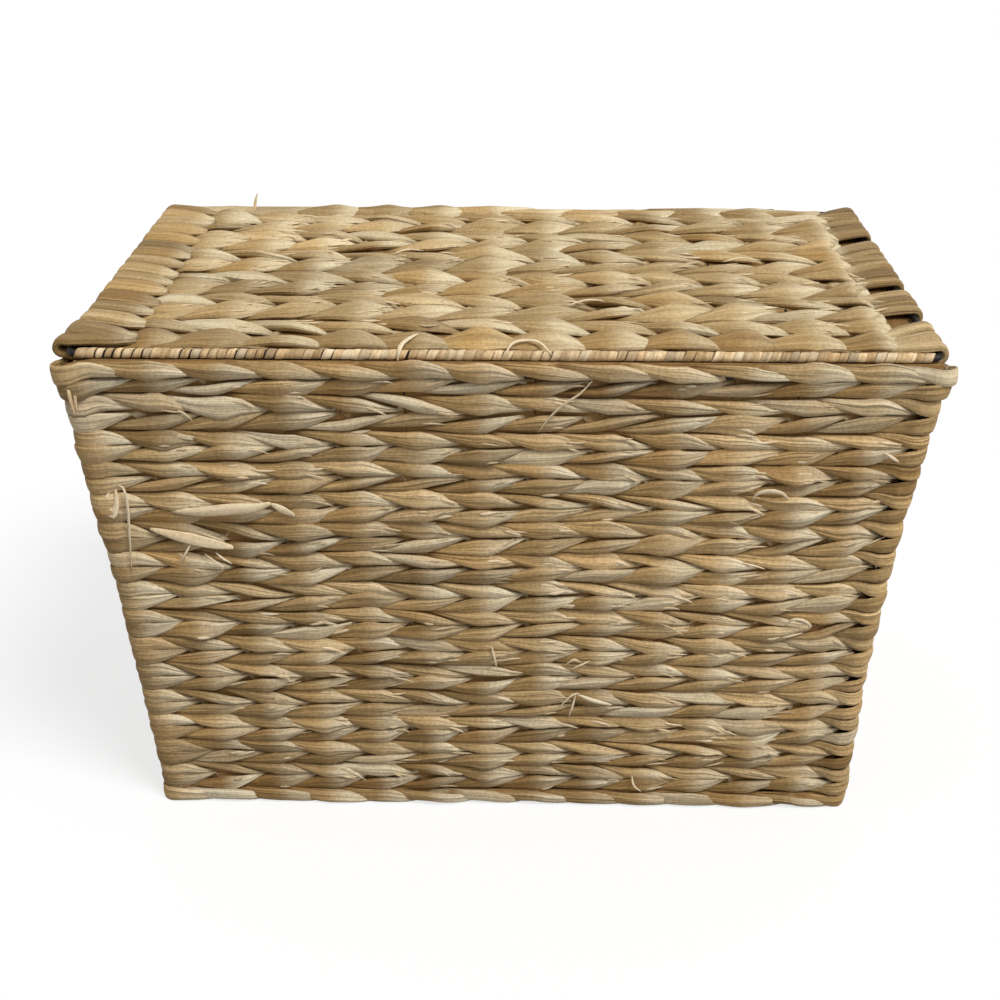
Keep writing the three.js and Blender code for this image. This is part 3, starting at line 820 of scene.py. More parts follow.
@dataclass(frozen=True)
class FillStem:
    """Flat stem that fills a row behind its leaves, and is thicker where it passes over a stake. Its colour
    is darkened with painted shade, for the shade between and behind the leaves.
    """

    half_thickness: float = 0.6 * MM
    stake_thickness: float = 0.8 * MM
    stake_reach: float = 0.125
    # Tone, tint and painted shade of the fill, which is darker than the leaves.
    tone: float = 0.35
    tint: float = 0.6
    hollow: float = 0.8

    def run(self, origin: Array, across: Array, outward: Array, width: Array, along: Array) -> StemRun:
        """Lay one stem for each row.

        Args:
            origin: Middle of each row, by row and station.
            across: Direction from row to row there.
            outward: Direction out of the surface there.
            width: Half width of each row's stem.
            along: Place along the rows, counted in stakes.

        Returns:
            The run of shaded stems.
        """
        over_stake = np.clip(1 - np.abs(along - np.round(along)) / self.stake_reach, 0.0, 1.0)
        return StemRun.spread(
            origin,
            across,
            outward,
            half_width=width[:, None],
            half_thickness=self.half_thickness + self.stake_thickness * over_stake,
            along=along,
            tone=self.tone,
            tint=self.tint,
            hollow=self.hollow,
        )


def alternate_lays(rows: int, last: Lay) -> Array:
    """Return each row's lay as a number, alternating, with the last row's given."""
    return np.array([last.value if (rows - 1 - row) % 2 == 0 else -last.value for row in range(rows)], float)


def uneven_rows(
    low: float, high: float, shares: Array, seed: int, spread: float = 0.07
) -> tuple[Array, Array]:
    """Share a length among rows of different heights.

    Args:
        low: Lower end.
        high: Upper end.
        shares: The rows' heights, before they are fitted to the length.
        seed: Seed of the draw.
        spread: How much further the heights differ.

    Returns:
        The middle and the height of each row.
    """
    heights = shares * (1.0 + np.random.default_rng(seed).uniform(-spread, spread, len(shares)))
    heights *= (high - low) / heights.sum()
    edges = low + np.concatenate([[0.0], np.cumsum(heights)])
    return (edges[1:] + edges[:-1]) / 2, heights


# Split tips and loose fibres


@dataclass(frozen=True)
class SplitTips:
    """Thin slivers that have split off the leaves near their tips."""

    count: int
    stakes: int
    seed: int
    places: Pair = (0.1, 0.55)
    lengths: Pair = (5 * MM, 12 * MM)
    half_widths: Pair = (0.3 * MM, 1.0 * MM)
    turn: float = 0.14
    curl: float = 0.7 * MM
    curls: Pair = (-0.6, 1.0)
    aside: float = 0.75
    above: float = 0.85
    taper: Pair = (0.12, 0.94)
    thickness: float = 0.4
    paleness: Pair = (0.6, 1.0)
    stations: int = 6

    def run(self, stems: StemRun, u: Array) -> StemRun:
        """Make the slivers.

        Args:
            stems: Twined stems, two for each row.
            u: Their stations.

        Returns:
            The run of the slivers.
        """
        rng = np.random.default_rng(self.seed)
        stem = rng.integers(0, len(stems.tone), self.count)
        stake = rng.integers(1, self.stakes, self.count)
        stake = stake + (stake + stem) % 2
        at = np.abs(u[None] - (stake + rng.uniform(*self.places, self.count))[:, None]).argmin(axis=1)
        at = np.minimum(at, len(u) - 3)
        across = stems.across[stem, at]
        outward = stems.outward[stem, at]
        step = stems.centres[stem, at + 2] - stems.centres[stem, at]
        heading = unit(step - outward * np.sum(step * outward, axis=1, keepdims=True))
        aside = stems.half_width[stem, at] * rng.uniform(-self.aside, self.aside, self.count)
        above = stems.half_thickness[stem, at] * self.above
        root = stems.centres[stem, at] + across * aside[:, None] + outward * above[:, None]
        share = np.linspace(0.0, 1.0, self.stations)[None, :, None]
        length = rng.uniform(*self.lengths, (self.count, 1, 1))
        turn = rng.normal(0.0, self.turn, (self.count, 1, 1))
        curl = self.curl * rng.uniform(*self.curls, (self.count, 1, 1))
        centres = root[:, None] + length * share * (heading[:, None] + turn * share * across[:, None])
        centres = centres + outward[:, None] * (curl * share**2)
        taper = np.sin(np.pi * np.linspace(*self.taper, self.stations))
        half_width = rng.uniform(*self.half_widths, (self.count, 1)) * taper
        return StemRun.spread(
            centres,
            across[:, None],
            outward[:, None],
            half_width=half_width,
            half_thickness=self.thickness * half_width,
            along=share[..., 0],
            tone=stems.tone[stem, at][:, None],
            tint=stems.tint[stem, at][:, None],
            tip=np.linspace(*self.paleness, self.stations) * rng.uniform(0.5, 1.0, (self.count, 1)),
        )


@dataclass(frozen=True)
class Strand:
    """A loose fibre: points along it and its half width, in millimetres, and how pale it is."""

    points: tuple[Place, ...]
    half_width: float = 0.6
    pale: float = 0.95

    def smoothed(self, count: int) -> Array:
        """Return points on a smooth line through the strand's points.

        Args:
            count: How many points.

        Returns:
            The points, in metres.
        """
        given = np.array(self.points) * MM
        padded = np.concatenate([2 * given[:1] - given[1:2], given, 2 * given[-1:] - given[-2:-1]])
        place = np.linspace(0, len(given) - 1, count)
        first = np.minimum(place.astype(int), len(given) - 2)
        t = (place - first)[:, None]
        before, here, after, beyond = (padded[first + k] for k in range(4))
        bend = 2 * before - 5 * here + 4 * after - beyond
        twist = 3 * here - before - 3 * after + beyond
        return 0.5 * (2 * here + (after - before) * t + bend * t**2 + twist * t**3)


@dataclass
class LooseFibres:
    """Fibres that have come off the weave and lie on one face of it."""

    name: str
    body: Body
    facing: Place
    strands: tuple[Strand, ...]
    stations: int = 18
    taper: Pair = (0.06, 0.94)
    taper_power: float = 0.85
    thickness: float = 0.45
    thickest: float = 0.5 * MM
    seed: int = 5

    def build(self, material: Material) -> None:
        """Make the fibres.

        Args:
            material: Their material.
        """
        rng = np.random.default_rng(self.seed)
        count = len(self.strands)
        centres = np.stack([strand.smoothed(self.stations) for strand in self.strands])
        tangent = unit(np.gradient(centres, axis=1))
        across = unit(np.cross(unit(np.array(self.facing)), tangent))
        taper = np.sin(np.pi * np.linspace(*self.taper, self.stations)) ** self.taper_power
        half_width = np.array([strand.half_width for strand in self.strands])[:, None] * MM * taper
        run = StemRun.spread(
            centres,
            across,
            unit(np.cross(tangent, across)),
            half_width=half_width,
            half_thickness=np.minimum(self.thickness * half_width, self.thickest),
            along=np.linspace(0.0, 2.0, self.stations),
            tone=rng.uniform(0.65, 0.95, (count, 1)),
            tint=rng.uniform(0.3, 0.6, (count, 1)),
            tip=np.array([strand.pale for strand in self.strands])[:, None],
        )
        StemMesh(self.name, sides=8, runs=[run]).build(material, self.body, Slot.PALE_FIBRE)


FRONT_STRANDS = (
    Strand(((-195.9, -122.6, 249), (-195.2, -123.4, 241), (-194.5, -121.4, 231)), 0.9, 0.15),
    Strand(((-192.6, -121.8, 249), (-193.2, -122.6, 240), (-194, -121, 231)), 0.8, 0.15),
    Strand(
        ((-185, -115.4, 192), (-186.5, -116, 185), (-185, -116, 177.5),
         (-182.5, -116, 182.5), (-182, -115.4, 191)), 1.9, 0.8
    ),
    Strand(
        ((-180.5, -115.4, 193), (-178, -116.4, 192),
         (-177, -116.4, 184), (-178, -115.4, 166), (-180, -112, 145)), 0.75
    ),
    Strand(
        ((-157, -113.6, 179), (-143, -115, 179.5), (-129, -116, 181.3),
         (-117, -116.3, 182.5), (-109, -116, 184.8)), 3.0, 0.7
    ),
    Strand(((-109, -116, 184.6), (-104, -116, 181.5), (-98, -114, 177)), 1.8, 0.8),
    Strand(
        ((-168.5, -112.8, 169), (-154, -114, 165.5),
         (-140, -114.4, 162.3), (-128, -112.8, 159)), 3.0, 0.6
    ),
    Strand(((-149, -113.6, 162.7), (-152, -114.5, 157), (-155, -113.6, 151.9))),
    Strand(((-156.4, -113, 156.4), (-151, -114.2, 153.5), (-146.7, -113.4, 151.9))),
    Strand(
        ((-143.4, -113.2, 156), (-138, -114.2, 152),
         (-134.9, -114, 149.2), (-136.1, -113, 146.3)), 0.6
    ),
    Strand(((-138, -113, 156.6), (-134, -114, 153.5), (-130.4, -113, 150.4))),
    Strand(
        ((16.3, -118, 223), (20.8, -119.4, 230.2),
         (27, -120.4, 237.4), (35, -120.8, 243.5), (40.3, -120.6, 249.5))
    ),
    Strand(
        ((116.9, -115, 187.7), (119.3, -116.4, 192.1),
         (124.8, -117, 193.7), (130.5, -116.4, 192.1), (134.6, -115.2, 187.8)), 1.0
    ),
    Strand(((31.7, -107.6, 91.7), (35.6, -109, 95.4), (39.7, -108.2, 93)), 0.6),
    Strand(((34.7, -107.6, 89.2), (39, -108.6, 92), (43.6, -108, 94.3))),
    Strand(((29.1, -105.6, 65.1), (35.1, -107, 72.9), (39.1, -106.6, 74.2)), 0.6),
    Strand(((38.1, -106, 72.9), (46, -107, 70), (55.6, -106, 66.7)), 1.2),
    Strand(((33.9, -105.2, 58.7), (35.5, -106.6, 66), (37.1, -106.4, 72.9))),
    Strand(((-5.4, -108.4, 102.4), (-4, -109.2, 96), (-2.9, -107.6, 88.8))),
    Strand(((67.7, -102, 20), (69, -103, 14.5), (72.9, -102, 9.8)), 0.6),
    Strand(
        ((139.3, -109.6, 117.2), (141.9, -111, 120.8),
         (146.8, -111.4, 120.8), (151, -110.6, 117.3), (149.4, -109.6, 113.7)), 0.9
    ),
    Strand(((175.2, -117, 213.7), (179, -117.6, 211.5), (183.2, -116.8, 208.5)), 0.9),
)
LID_STRANDS = (
    Strand(((-146, 101, 264), (-145.5, 102, 269.5), (-144, 102.5, 274.5)), 1.0, 0.3),
    Strand(
        ((-47, -119.6, 257.6), (-46.4, -119, 262),
         (-45, -115, 264.6), (-41, -107, 265.2), (-38.6, -103, 265)), 1.1
    ),
    Strand(
        ((1, -119.4, 261), (4.3, -114.3, 264.8),
         (10.1, -110.4, 265), (16.8, -112.8, 264.8), (22, -119.2, 261.4)), 0.9
    ),
    Strand(((-60, 20, 264.6), (-52, 24, 265.8), (-44, 23, 265.2))),
    Strand(((30, -62, 264.8), (40, -57, 266), (52, -58, 265.4)), 0.6),
    Strand(((-128, 60, 264.8), (-119, 57, 266), (-110, 58, 265.2)), 0.6),
    Strand(((112, 8, 264.8), (121, 12, 265.8), (132, 10, 265.2)), 0.6),
)


# Basket walls


@dataclass(frozen=True)
class WallShape:
    """Outside of the tapered walls."""

    rim_half_width: float
    rim_half_depth: float
    foot_half_width: float
    foot_half_depth: float
    height: float
    thickness: float = 10 * MM
    right_bow: float = 5.5 * MM

    @classmethod
    def from_frame(cls) -> "WallShape":
        """Read the walls' sizes from the frame.

        Returns:
            The walls' shape.
        """
        front_low, front_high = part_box("front_weave")
        left_low, left_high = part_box("left_weave")
        return cls(
            rim_half_width=-left_low.x,
            rim_half_depth=-front_low.y,
            foot_half_width=-left_high.x + cls.thickness,
            foot_half_depth=-front_high.y + cls.thickness,
            height=front_high.z,
        )

    def half_width(self, z: Array) -> Array:
        """Return half the width at heights."""
        return self.foot_half_width + (self.rim_half_width - self.foot_half_width) * z / self.height

    def half_depth(self, z: Array) -> Array:
        """Return half the depth at heights."""
        return self.foot_half_depth + (self.rim_half_depth - self.foot_half_depth) * z / self.height

    def bow(self, z: Array) -> Array:
        """Return how far the right wall is pulled in at heights."""
        share = z / self.height
        return 4 * self.right_bow * share * (1 - share)


@dataclass
class BasketWalls:
    """The four twined walls: rows that run round the basket and turn at the corner posts."""

    shape: WallShape
    rows: int = 31
    front_spans: int = 13
    side_spans: int = 8
    edge_inset: float = 2 * MM
    corner_round: float = 4 * MM
    corner_cover: float = 5.0 * MM
    corner_spread: float = 6 * MM
    rim_flare: float = 5.5 * MM
    flare_height: float = 12 * MM
    floor_gap: float = 0.3 * MM
    rim_gap: float = 0.6 * MM
    wander: float = 1.0 * MM
    front_lift: float = 2.9 * MM
    lift_shares: tuple[float, ...] = (1.0, 0.7, 0.42, 0.2)
    falling_share: float = -0.02
    corner_thinning: float = 0.5
    corner_narrowing: float = 0.08
    corner_pinch: float = 0.06
    corner_breadth: float = 0.2
    open_breadth: float = 0.15
    left_slimming: float = 0.55
    slim_heights: Pair = (130 * MM, 200 * MM)
    closed_spans: Pair = (2.0, 4.0)
    close_stations: tuple[float, ...] = (0.03, 0.06, 0.14)
    drift_waves: tuple[int, ...] = (2, 5, 9, 14)
    drift_turn: float = 0.35
    rise_spans: float = 3.0
    slivers: int = 420
    inner_reach: float = 0.8 * MM
    lining_depth: float = 0.9 * MM
    foot_shade: float = 0.26
    shade_height: float = 110 * MM
    right_light: float = 0.17
    right_rise: float = 3.0 * MM
    core_width: float = 0.75
    edge_core: float = 0.55
    steps: int = 8
    inner_steps: int = 5
    split: float = 0.18
    seed: int = 11
    wall_twine: TwineShape = TwineShape(depth=2.95 * MM, half_thickness=2.05 * MM)
    lining_twine: TwineShape = TwineShape(depth=2.5 * MM, half_thickness=1.7 * MM, start=-0.8, end=0.82)
    foot_twine: TwineShape = TwineShape(
        depth=2.8 * MM, half_thickness=1.9 * MM, crown=0.5, root=0.42, tip=0.32, start=-0.7
    )
    rim_twine: TwineShape = TwineShape(
        depth=2.8 * MM, half_thickness=1.8 * MM, root=0.26, tip=0.14, start=-0.74
    )

    def corners(self) -> Array:
        """Return the stations of the front left, front right, back right and back left corners."""
        return np.cumsum([0, self.front_spans, self.side_spans, self.front_spans])

    def ring_length(self) -> int:
        """Return how many stakes and posts the ring has."""
        return 2 * (self.front_spans + self.side_spans)

    def stations(self, first: int, last: int, reach: float) -> Array:
        """Choose stations from one corner to another.

        Args:
            first: Station of the first corner.
            last: Station of the last corner.
            reach: How far to go past the corners, or short of them if negative.

        Returns:
            Stations, closer together at the corners.
        """
        even = np.arange(first - 1, last + 1 + 0.5 / self.steps, 1 / self.steps)
        close = np.array(self.close_stations)
        extra = np.concatenate([first + close, first - close, last + close, last - close])
        ends = np.array([first - reach, last + reach])
        every = np.unique(np.round(np.concatenate([even, extra, ends]), 4))
        return every[(every >= ends[0] - 1e-6) & (every <= ends[1] + 1e-6)]

    def sharp_ring(self, u: Array, z: Array, inset: float) -> Array:
        """Work out the ring's points before its corners are rounded.

        Args:
            u: Stations.
            z: Height of each row.
            inset: How far inside the walls' outside the rows run.

        Returns:
            Points in X and Y by row and station.
        """
        front, side = self.front_spans, self.side_spans
        u = np.mod(u, self.ring_length())[None]
        middle = self.shape.thickness / 2
        half_width = self.shape.half_width(z)[:, None]
        half_depth = self.shape.half_depth(z)[:, None]
        left = half_width - inset
        right = left - self.shape.bow(z)[:, None]
        deep = half_depth - inset

        def run(w: Array, spans: int, reach: Array, low: Array, high: Array) -> Array:
            """Place stations along a side.

            Args:
                w: Stations, counted from the side's first corner.
                spans: How many spaces between stakes the side has.
                reach: How far from its middle the stakes would put the corners.
                low: How far from its middle the first corner lies.
                high: How far from its middle the last corner lies.

            Returns:
                Places along the side, by row and station.
            """
            even = (2 * w / spans - 1) * reach
            moved_low = np.clip(1 - w, 0, 1) * (reach - low)
            return even + moved_low + np.clip(w - spans + 1, 0, 1) * (high - reach)

        along_front = run(u, front, half_width - middle, left, right)
        along_right = run(u - front, side, half_depth - middle, deep, deep)
        along_back = -run(u - front - side, front, half_width - middle, right, left)
        along_left = -run(u - 2 * front - side, side, half_depth - middle, deep, deep)
        on = [np.broadcast_to(u < end, along_front.shape) for end in self.corners()[1:]]
        ones = np.ones_like(u)
        x = np.select(on, [along_front, right * ones, along_back], -left * ones)
        y = np.select(on, [-deep * ones, along_right, deep * ones], along_left)
        return np.stack([x, y], axis=-1)

    def ring(self, u: Array, z: Array, inset: float) -> tuple[Array, Array, Array]:
        """Work out the ring with rounded corners.

        Args:
            u: Stations.
            z: Height of each row.
            inset: How far inside the walls' outside the rows run.

        Returns:
            Points in X and Y, directions out of the wall, and distances to the nearest corner.
        """
        around = self.ring_length()
        corners = self.corners()
        offset = np.mod(u[:, None] - corners[None] + around / 2, around) - around / 2
        nearest = np.argmin(np.abs(offset), axis=1)
        after = offset[np.arange(len(u)), nearest] >= 0
        points = self.sharp_ring(u, z, inset)
        corner_points = self.sharp_ring(corners.astype(float), z, inset)[:, nearest]
        headings = np.array([[1.0, 0.0], [0.0, 1.0], [-1.0, 0.0], [0.0, -1.0]])
        ahead = headings[nearest][None]
        back = headings[nearest - 1][None]
        away = np.linalg.norm(points - corner_points, axis=-1)
        signed = np.where(after[None], away, -away)[..., None]
        size = self.corner_round
        held = np.clip(signed, -size, size)
        rounded = (ahead * (size + held) ** 2 - back * (size - held) ** 2) / (4 * size)
        points = np.where(away[..., None] < size, corner_points + rounded, points)
        heading = unit(back * (size - held) + ahead * (size + held))
        return points, np.stack([heading[..., 1], -heading[..., 0]], axis=-1), away

    def laid_rows(self) -> tuple[Array, Array, Array]:
        """Share the walls' height among the rows.

        Returns:
            The lay, the middle and the height of each row.
        """
        lays = alternate_lays(self.rows, Lay.FALLING)
        shares = 1 + self.falling_share * lays
        return lays, *uneven_rows(self.floor_gap, self.shape.height - self.rim_gap, shares, self.seed)

    def surface(self, u: Array, z: Array, drift: Array, inset: float) -> tuple[Array, ...]:
        """Work out where rows lie on the walls.

        Args:
            u: Stations.
            z: Height of each row.
            drift: How far each row wanders from its height, by row and station.
            inset: How far inside the walls' outside the rows run.

        Returns:
            Middles of the rows, directions from row to row and out of the wall, and distances to the nearest
            corner, by row and station.
        """
        points, normals, away = self.ring(u, z, inset)
        lean = (self.shape.rim_half_depth - self.shape.foot_half_depth) / self.shape.height
        origin = np.concatenate([points, (z[:, None] + drift)[..., None]], axis=-1)
        outward = np.concatenate([normals, np.zeros_like(away)[..., None]], axis=-1)
        return origin, unit(outward * lean + UP), outward, away

    def runs(self, u: Array) -> list[tuple[StemRun, StemRun]]:
        """Make all the rows along some stations.

        Args:
            u: Stations.

        Returns:
            The stems and the fill of the rows in the wall, of the foot's row and of the rim's row.
        """
        lays, z, heights = self.laid_rows()
        draws = LeafDraws(self.rows, self.ring_length(), self.seed + 1)
        draws.steady(0)
        draws.steady(self.front_spans)
        draws.width[0] = np.minimum(draws.width[0], 0.0)
        draws.rise[0] = np.abs(draws.rise[0])
        drift = self.row_drift(u)
        middle = self.shape.thickness / 2
        closed = 1 - self.opens(u)
        slim = 1 - self.left_slimming * (1 - smooth_step(*self.slim_heights, z))[:, None] * closed
        made = []
        for rows, twine_shape, inset, cover in (
            (np.arange(1, self.rows - 1), self.wall_twine, middle, self.corner_cover),
            (np.array([0]), self.foot_twine, self.edge_inset, 0.0),
            (np.array([self.rows - 1]), self.rim_twine, self.edge_inset, 0.0),
        ):
            twine = twined(twine_shape, draws.pick(rows), heights[rows], lays[rows], u)
            origin, across, outward, away = self.surface(u, z[rows], drift[rows], inset)
            near = np.exp(-((away / self.corner_spread) ** 2))
            open_corner = near * self.opens(u)
            flare = self.rim_flare * np.exp(-(((self.shape.height - z[rows]) / self.flare_height) ** 2))
            over_post = (cover * slim[rows] + flare[:, None]) * near
            outer = np.clip(twine["depth"] / twine_shape.depth, 0, 1)
            twine["depth"] = np.maximum(twine["depth"] + over_post[:, None] * outer, -self.inner_reach)
            twine["tone"] = twine["tone"] + self.light(u, z[rows])[:, None]
            narrow = np.where(lays[rows] > 0, self.corner_narrowing, 0.0)[:, None]
            pinch = self.corner_pinch * (heights[rows] * lays[rows])[:, None] * open_corner
            twine["rise"] = twine["rise"] - pinch[:, None]
            twine["half_thickness"] = twine["half_thickness"] * (1 - self.corner_thinning * near)[:, None]
            broad = self.corner_breadth * (near - open_corner) + self.open_breadth * open_corner
            twine["half_width"] = twine["half_width"] * (1 + broad - narrow * open_corner)[:, None]
            run = laid_run(twine, origin, across, outward, u)
            core_width = self.core_width if len(rows) > 1 else self.edge_core
            made.append((run, FillStem().run(origin, across, outward, core_width * heights[rows], u)))
        return made

    def lining(self, u: Array) -> StemRun:
        """Make the side of the rows that faces into the basket.

        Args:
            u: Stations.

        Returns:
            The run of the rows' inner leaves.
        """
        lays, z, heights = self.laid_rows()
        draws = LeafDraws(self.rows, self.ring_length(), self.seed + 7)
        draws.width[[0, -1]] = -1.0
        draws.rise[[0, -1]] = 0.0
        twine = twined(self.lining_twine, draws, heights, lays, u)
        keep_inside(twine, self.lining_depth)
        origin, across, outward, _ = self.surface(u, z, self.row_drift(u, 0.0), self.shape.thickness / 2)
        return laid_run(twine, origin, -across, -outward, u)

    def light(self, u: Array, z: Array) -> Array:
        """Work out how much lighter the stems are to the right, and darker near the foot.

        Args:
            u: Stations.
            z: Height of each row.

        Returns:
            What to add to the tone, by row and station.
        """
        around = self.ring_length()
        aside = np.interp(np.mod(u, around), [0, self.front_spans, around], [-1, 1, -1])
        low = 1 - smooth_step(0.0, self.shade_height, z)
        return self.right_light * aside[None] - self.foot_shade * low[:, None]

    def opens(self, u: Array) -> Array:
        """Work out where the rows open at a corner.

        Args:
            u: Stations.

        Returns:
            Zero near the front left corner, where the rows lie closed, and one away from it.
        """
        around = self.ring_length()
        offset = np.abs(np.mod(u + around / 2, around) - around / 2)
        return smooth_step(*self.closed_spans, offset)

    def row_drift(self, u: Array, lifted: float = 1.0) -> Array:
        """Work out how far each row wanders up or down; neighbours wander together.

        Args:
            u: Stations.
            lifted: Share of the lift that takes the rim's front rows to the lid's edge.

        Returns:
            Drift by row and station.
        """
        rng = np.random.default_rng(self.seed + 2)
        drift = np.zeros((self.rows, len(u)))
        for waves in self.drift_waves:
            phase = np.cumsum(rng.normal(0.0, self.drift_turn, (self.rows, 1)), axis=0)
            phase = phase + rng.uniform(0, 2 * np.pi)
            drift += np.sin(2 * np.pi * waves * u[None] / self.ring_length() + phase)
        ease = np.sin(np.pi * np.arange(self.rows) / (self.rows - 1)) ** 0.7
        drift *= 0.5 * self.wander * ease[:, None]
        front = np.mod(u + 1, self.ring_length()) - 1
        past = front - self.front_spans
        on_front = smooth_step(-0.1, 0.4, front) * (1 - smooth_step(0.0, 0.2, past))
        near_right = smooth_step(-self.rise_spans, 0.0, past) * (1 - smooth_step(0.0, self.rise_spans, past))
        drift += self.right_rise * ease[:, None] * near_right
        for row, share in enumerate(self.lift_shares):
            drift[-1 - row] += lifted * self.front_lift * share * on_front
        return drift

    def build(self, material: Material, split_fibre: Material) -> None:
        """Make the four walls.

        Args:
            material: Their material.
            split_fibre: Material of the slivers on the front.
        """
        corners = [*self.corners(), self.ring_length()]
        for index, name in enumerate(("front_weave", "right_weave", "back_weave", "left_weave")):
            broad = name in ("front_weave", "back_weave")
            u = self.stations(corners[index], corners[index + 1], self.split if broad else -self.split)
            mesh = StemMesh(f"{name}_stems", sides=12, runs=[run for run, _ in self.runs(u)])
            mesh.build(material, Body.BASKET, Slot.WALL_STEMS, [name])
            if name == "front_weave":
                slivers = SplitTips(self.slivers, self.front_spans - 1, self.seed + 5).run(mesh.runs[0], u)
                tips = StemMesh("front_split_tips", sides=6, runs=[slivers])
                tips.build(split_fibre, Body.BASKET, Slot.PALE_FIBRE)
        coarse = replace(self, steps=self.inner_steps)
        around = coarse.stations(0, self.ring_length(), 0.0)
        # Fill stems behind the rows, darkened with painted shade.
        fill = StemMesh("wall_fill_stems", sides=8, runs=[core for _, core in coarse.runs(around)])
        fill.build(material, Body.BASKET, Slot.WALL_STEMS)
        lining = StemMesh("wall_lining_stems", sides=6, runs=[coarse.lining(around)])
        lining.build(material, Body.BASKET, Slot.WALL_STEMS)


# Floor and lid


EDGE_ROW = {"crown": 0.52, "width_spread": 0.06, "rise_spread": 0.0}
FRONT_ROW = {**EDGE_ROW, "root": 0.2, "tip": 0.1, "hug": -1.0}
BACK_ROW = {**EDGE_ROW, "root": 0.34, "tip": 0.26, "hug": 1.0, "thin": 0.97}


@dataclass
class FlatTwine:
    """A level twined panel whose rows run from left to right.

    Its left end can sink under a border, and its right end can rise over one and lie there with cut pale
    tips. The row at the back lies flat, for the hinge wire.
    """

    name: str
    node: str
    body: Body
    slot: Slot
    middle: float
    front: float
    back: float
    half_run: float
    rows: int
    twine: TwineShape
    first: float
    last: float
    spans: int = 13
    steps: int = 10
    sides: int = 12
    stems_in_row: int = 4
    wander: float = 0.8 * MM
    waves: float = 1.7
    core_width: float = 0.58
    inner_reach: float = 0.8 * MM
    lining_depth: float = 0.9 * MM
    lining_share: float = 0.85
    lining_thickness: float = 0.8
    back_depth: float = 0.12
    back_thickness: float = 1.25
    left_sink: float = 0.0
    sink_spans: Pair = (0.7, 1.05)
    right_lift: float = 0.0
    lift_spans: Pair = (-1.3, -0.8)
    pale_spans: Pair = (-1.0, -0.6)
    right_paleness: float = 0.8
    last_cut: float = 0.0
    tip_turn: float = 0.2
    slivers: int = 0
    tips_name: str = ""
    lining_name: str = ""
    seed: int = 31

    def laid_rows(self) -> tuple[Array, Array, Array]:
        """Share the panel's depth among the rows.

        Returns:
            The lay, the middle and the height of each row.
        """
        lays = alternate_lays(self.rows, Lay.RISING)
        return lays, *uneven_rows(self.front, self.back, np.ones(self.rows), self.seed)

    def surface(self, u: Array, y: Array) -> tuple[Array, Array, Array]:
        """Work out where the rows lie.

        Args:
            u: Stations.
            y: Middle of each row.

        Returns:
            Middles of the rows, and directions from row to row and up, by row and station.
        """
        phase = np.random.default_rng(self.seed + 2).uniform(0, 2 * np.pi, (self.rows, 1))
        drift = self.wander * np.sin(2 * np.pi * self.waves * u[None] / self.spans + phase)
        drift[[0, -1]] = 0.0
        origin = np.zeros((*drift.shape, 3))
        origin[..., 0] = (2 * u / self.spans - 1) * self.half_run
        origin[..., 1] = y[:, None] + drift
        origin[..., 2] = self.middle
        return origin, np.broadcast_to(BACK, origin.shape), np.broadcast_to(UP, origin.shape)

    def leaf_draws(self, seed: int) -> LeafDraws:
        """Return the random differences between the leaves."""
        return LeafDraws(self.rows, self.spans + 1, seed, run_length=self.stems_in_row)

    def runs(self, u: Array) -> list[StemRun]:
        """Make the rows that show from above.

        Args:
            u: Stations.

        Returns:
            The stems of the rows in the panel, of the front's row and of the back's row, and the fill.
        """
        lays, y, heights = self.laid_rows()
        origin, across, outward = self.surface(u, y)
        draws = self.leaf_draws(self.seed + 1)
        draws.end[:, self.spans - 1] -= self.last_cut / self.twine.end_spread
        draws.start[:, self.spans] += 2 * self.last_cut / self.twine.end_spread
        sunk = self.left_sink * (1 - smooth_step(*self.sink_spans, u))
        raised = self.right_lift * smooth_step(*self.lift_spans, u - self.spans)
        upper = origin + outward * (raised - sunk)[None, :, None]
        upper[-1] = origin[-1]
        back = replace(
            self.twine,
            **BACK_ROW,
            depth=self.back_depth * self.twine.depth,
            half_thickness=self.back_thickness * self.twine.half_thickness,
        )
        made = []
        for rows, shape in (
            (np.arange(1, self.rows - 1), self.twine),
            (np.array([0]), replace(self.twine, **FRONT_ROW)),
            (np.array([self.rows - 1]), back),
        ):
            twine = twined(shape, draws.pick(rows), heights[rows], lays[rows], u)
            twine["depth"] = np.maximum(twine["depth"], -self.inner_reach)
            if self.right_lift:
                pale = self.right_paleness * smooth_step(*self.pale_spans, u - self.spans)
                twine["tip"] = np.maximum(twine["tip"], pale)
            made.append(laid_run(twine, upper[rows], across[rows], outward[rows], u))
        inner = np.arange(self.rows - 1)
        fill_width = self.core_width * heights[inner]
        made.append(FillStem().run(origin[inner], across[inner], outward[inner], fill_width, u))
        return made

    def lining(self, u: Array) -> StemRun:
        """Make the side of the rows that faces down, but for the row at the back.

        Args:
            u: Stations.

        Returns:
            The run of the rows' lower leaves.
        """
        lays, y, heights = self.laid_rows()
        inner = np.arange(self.rows - 1)
        origin, across, outward = (values[inner] for values in self.surface(u, y))
        shape = replace(
            self.twine,
            depth=self.lining_share * self.twine.depth,
            half_thickness=self.lining_thickness * self.twine.half_thickness,
        )
        draws = self.leaf_draws(self.seed + 7)
        draws.width[0] = -0.5
        draws.rise[0] = 0.0
        twine = twined(shape, draws.pick(inner), heights[inner], lays[inner], u)
        keep_inside(twine, self.lining_depth)
        return laid_run(twine, origin, -across, -outward, u)

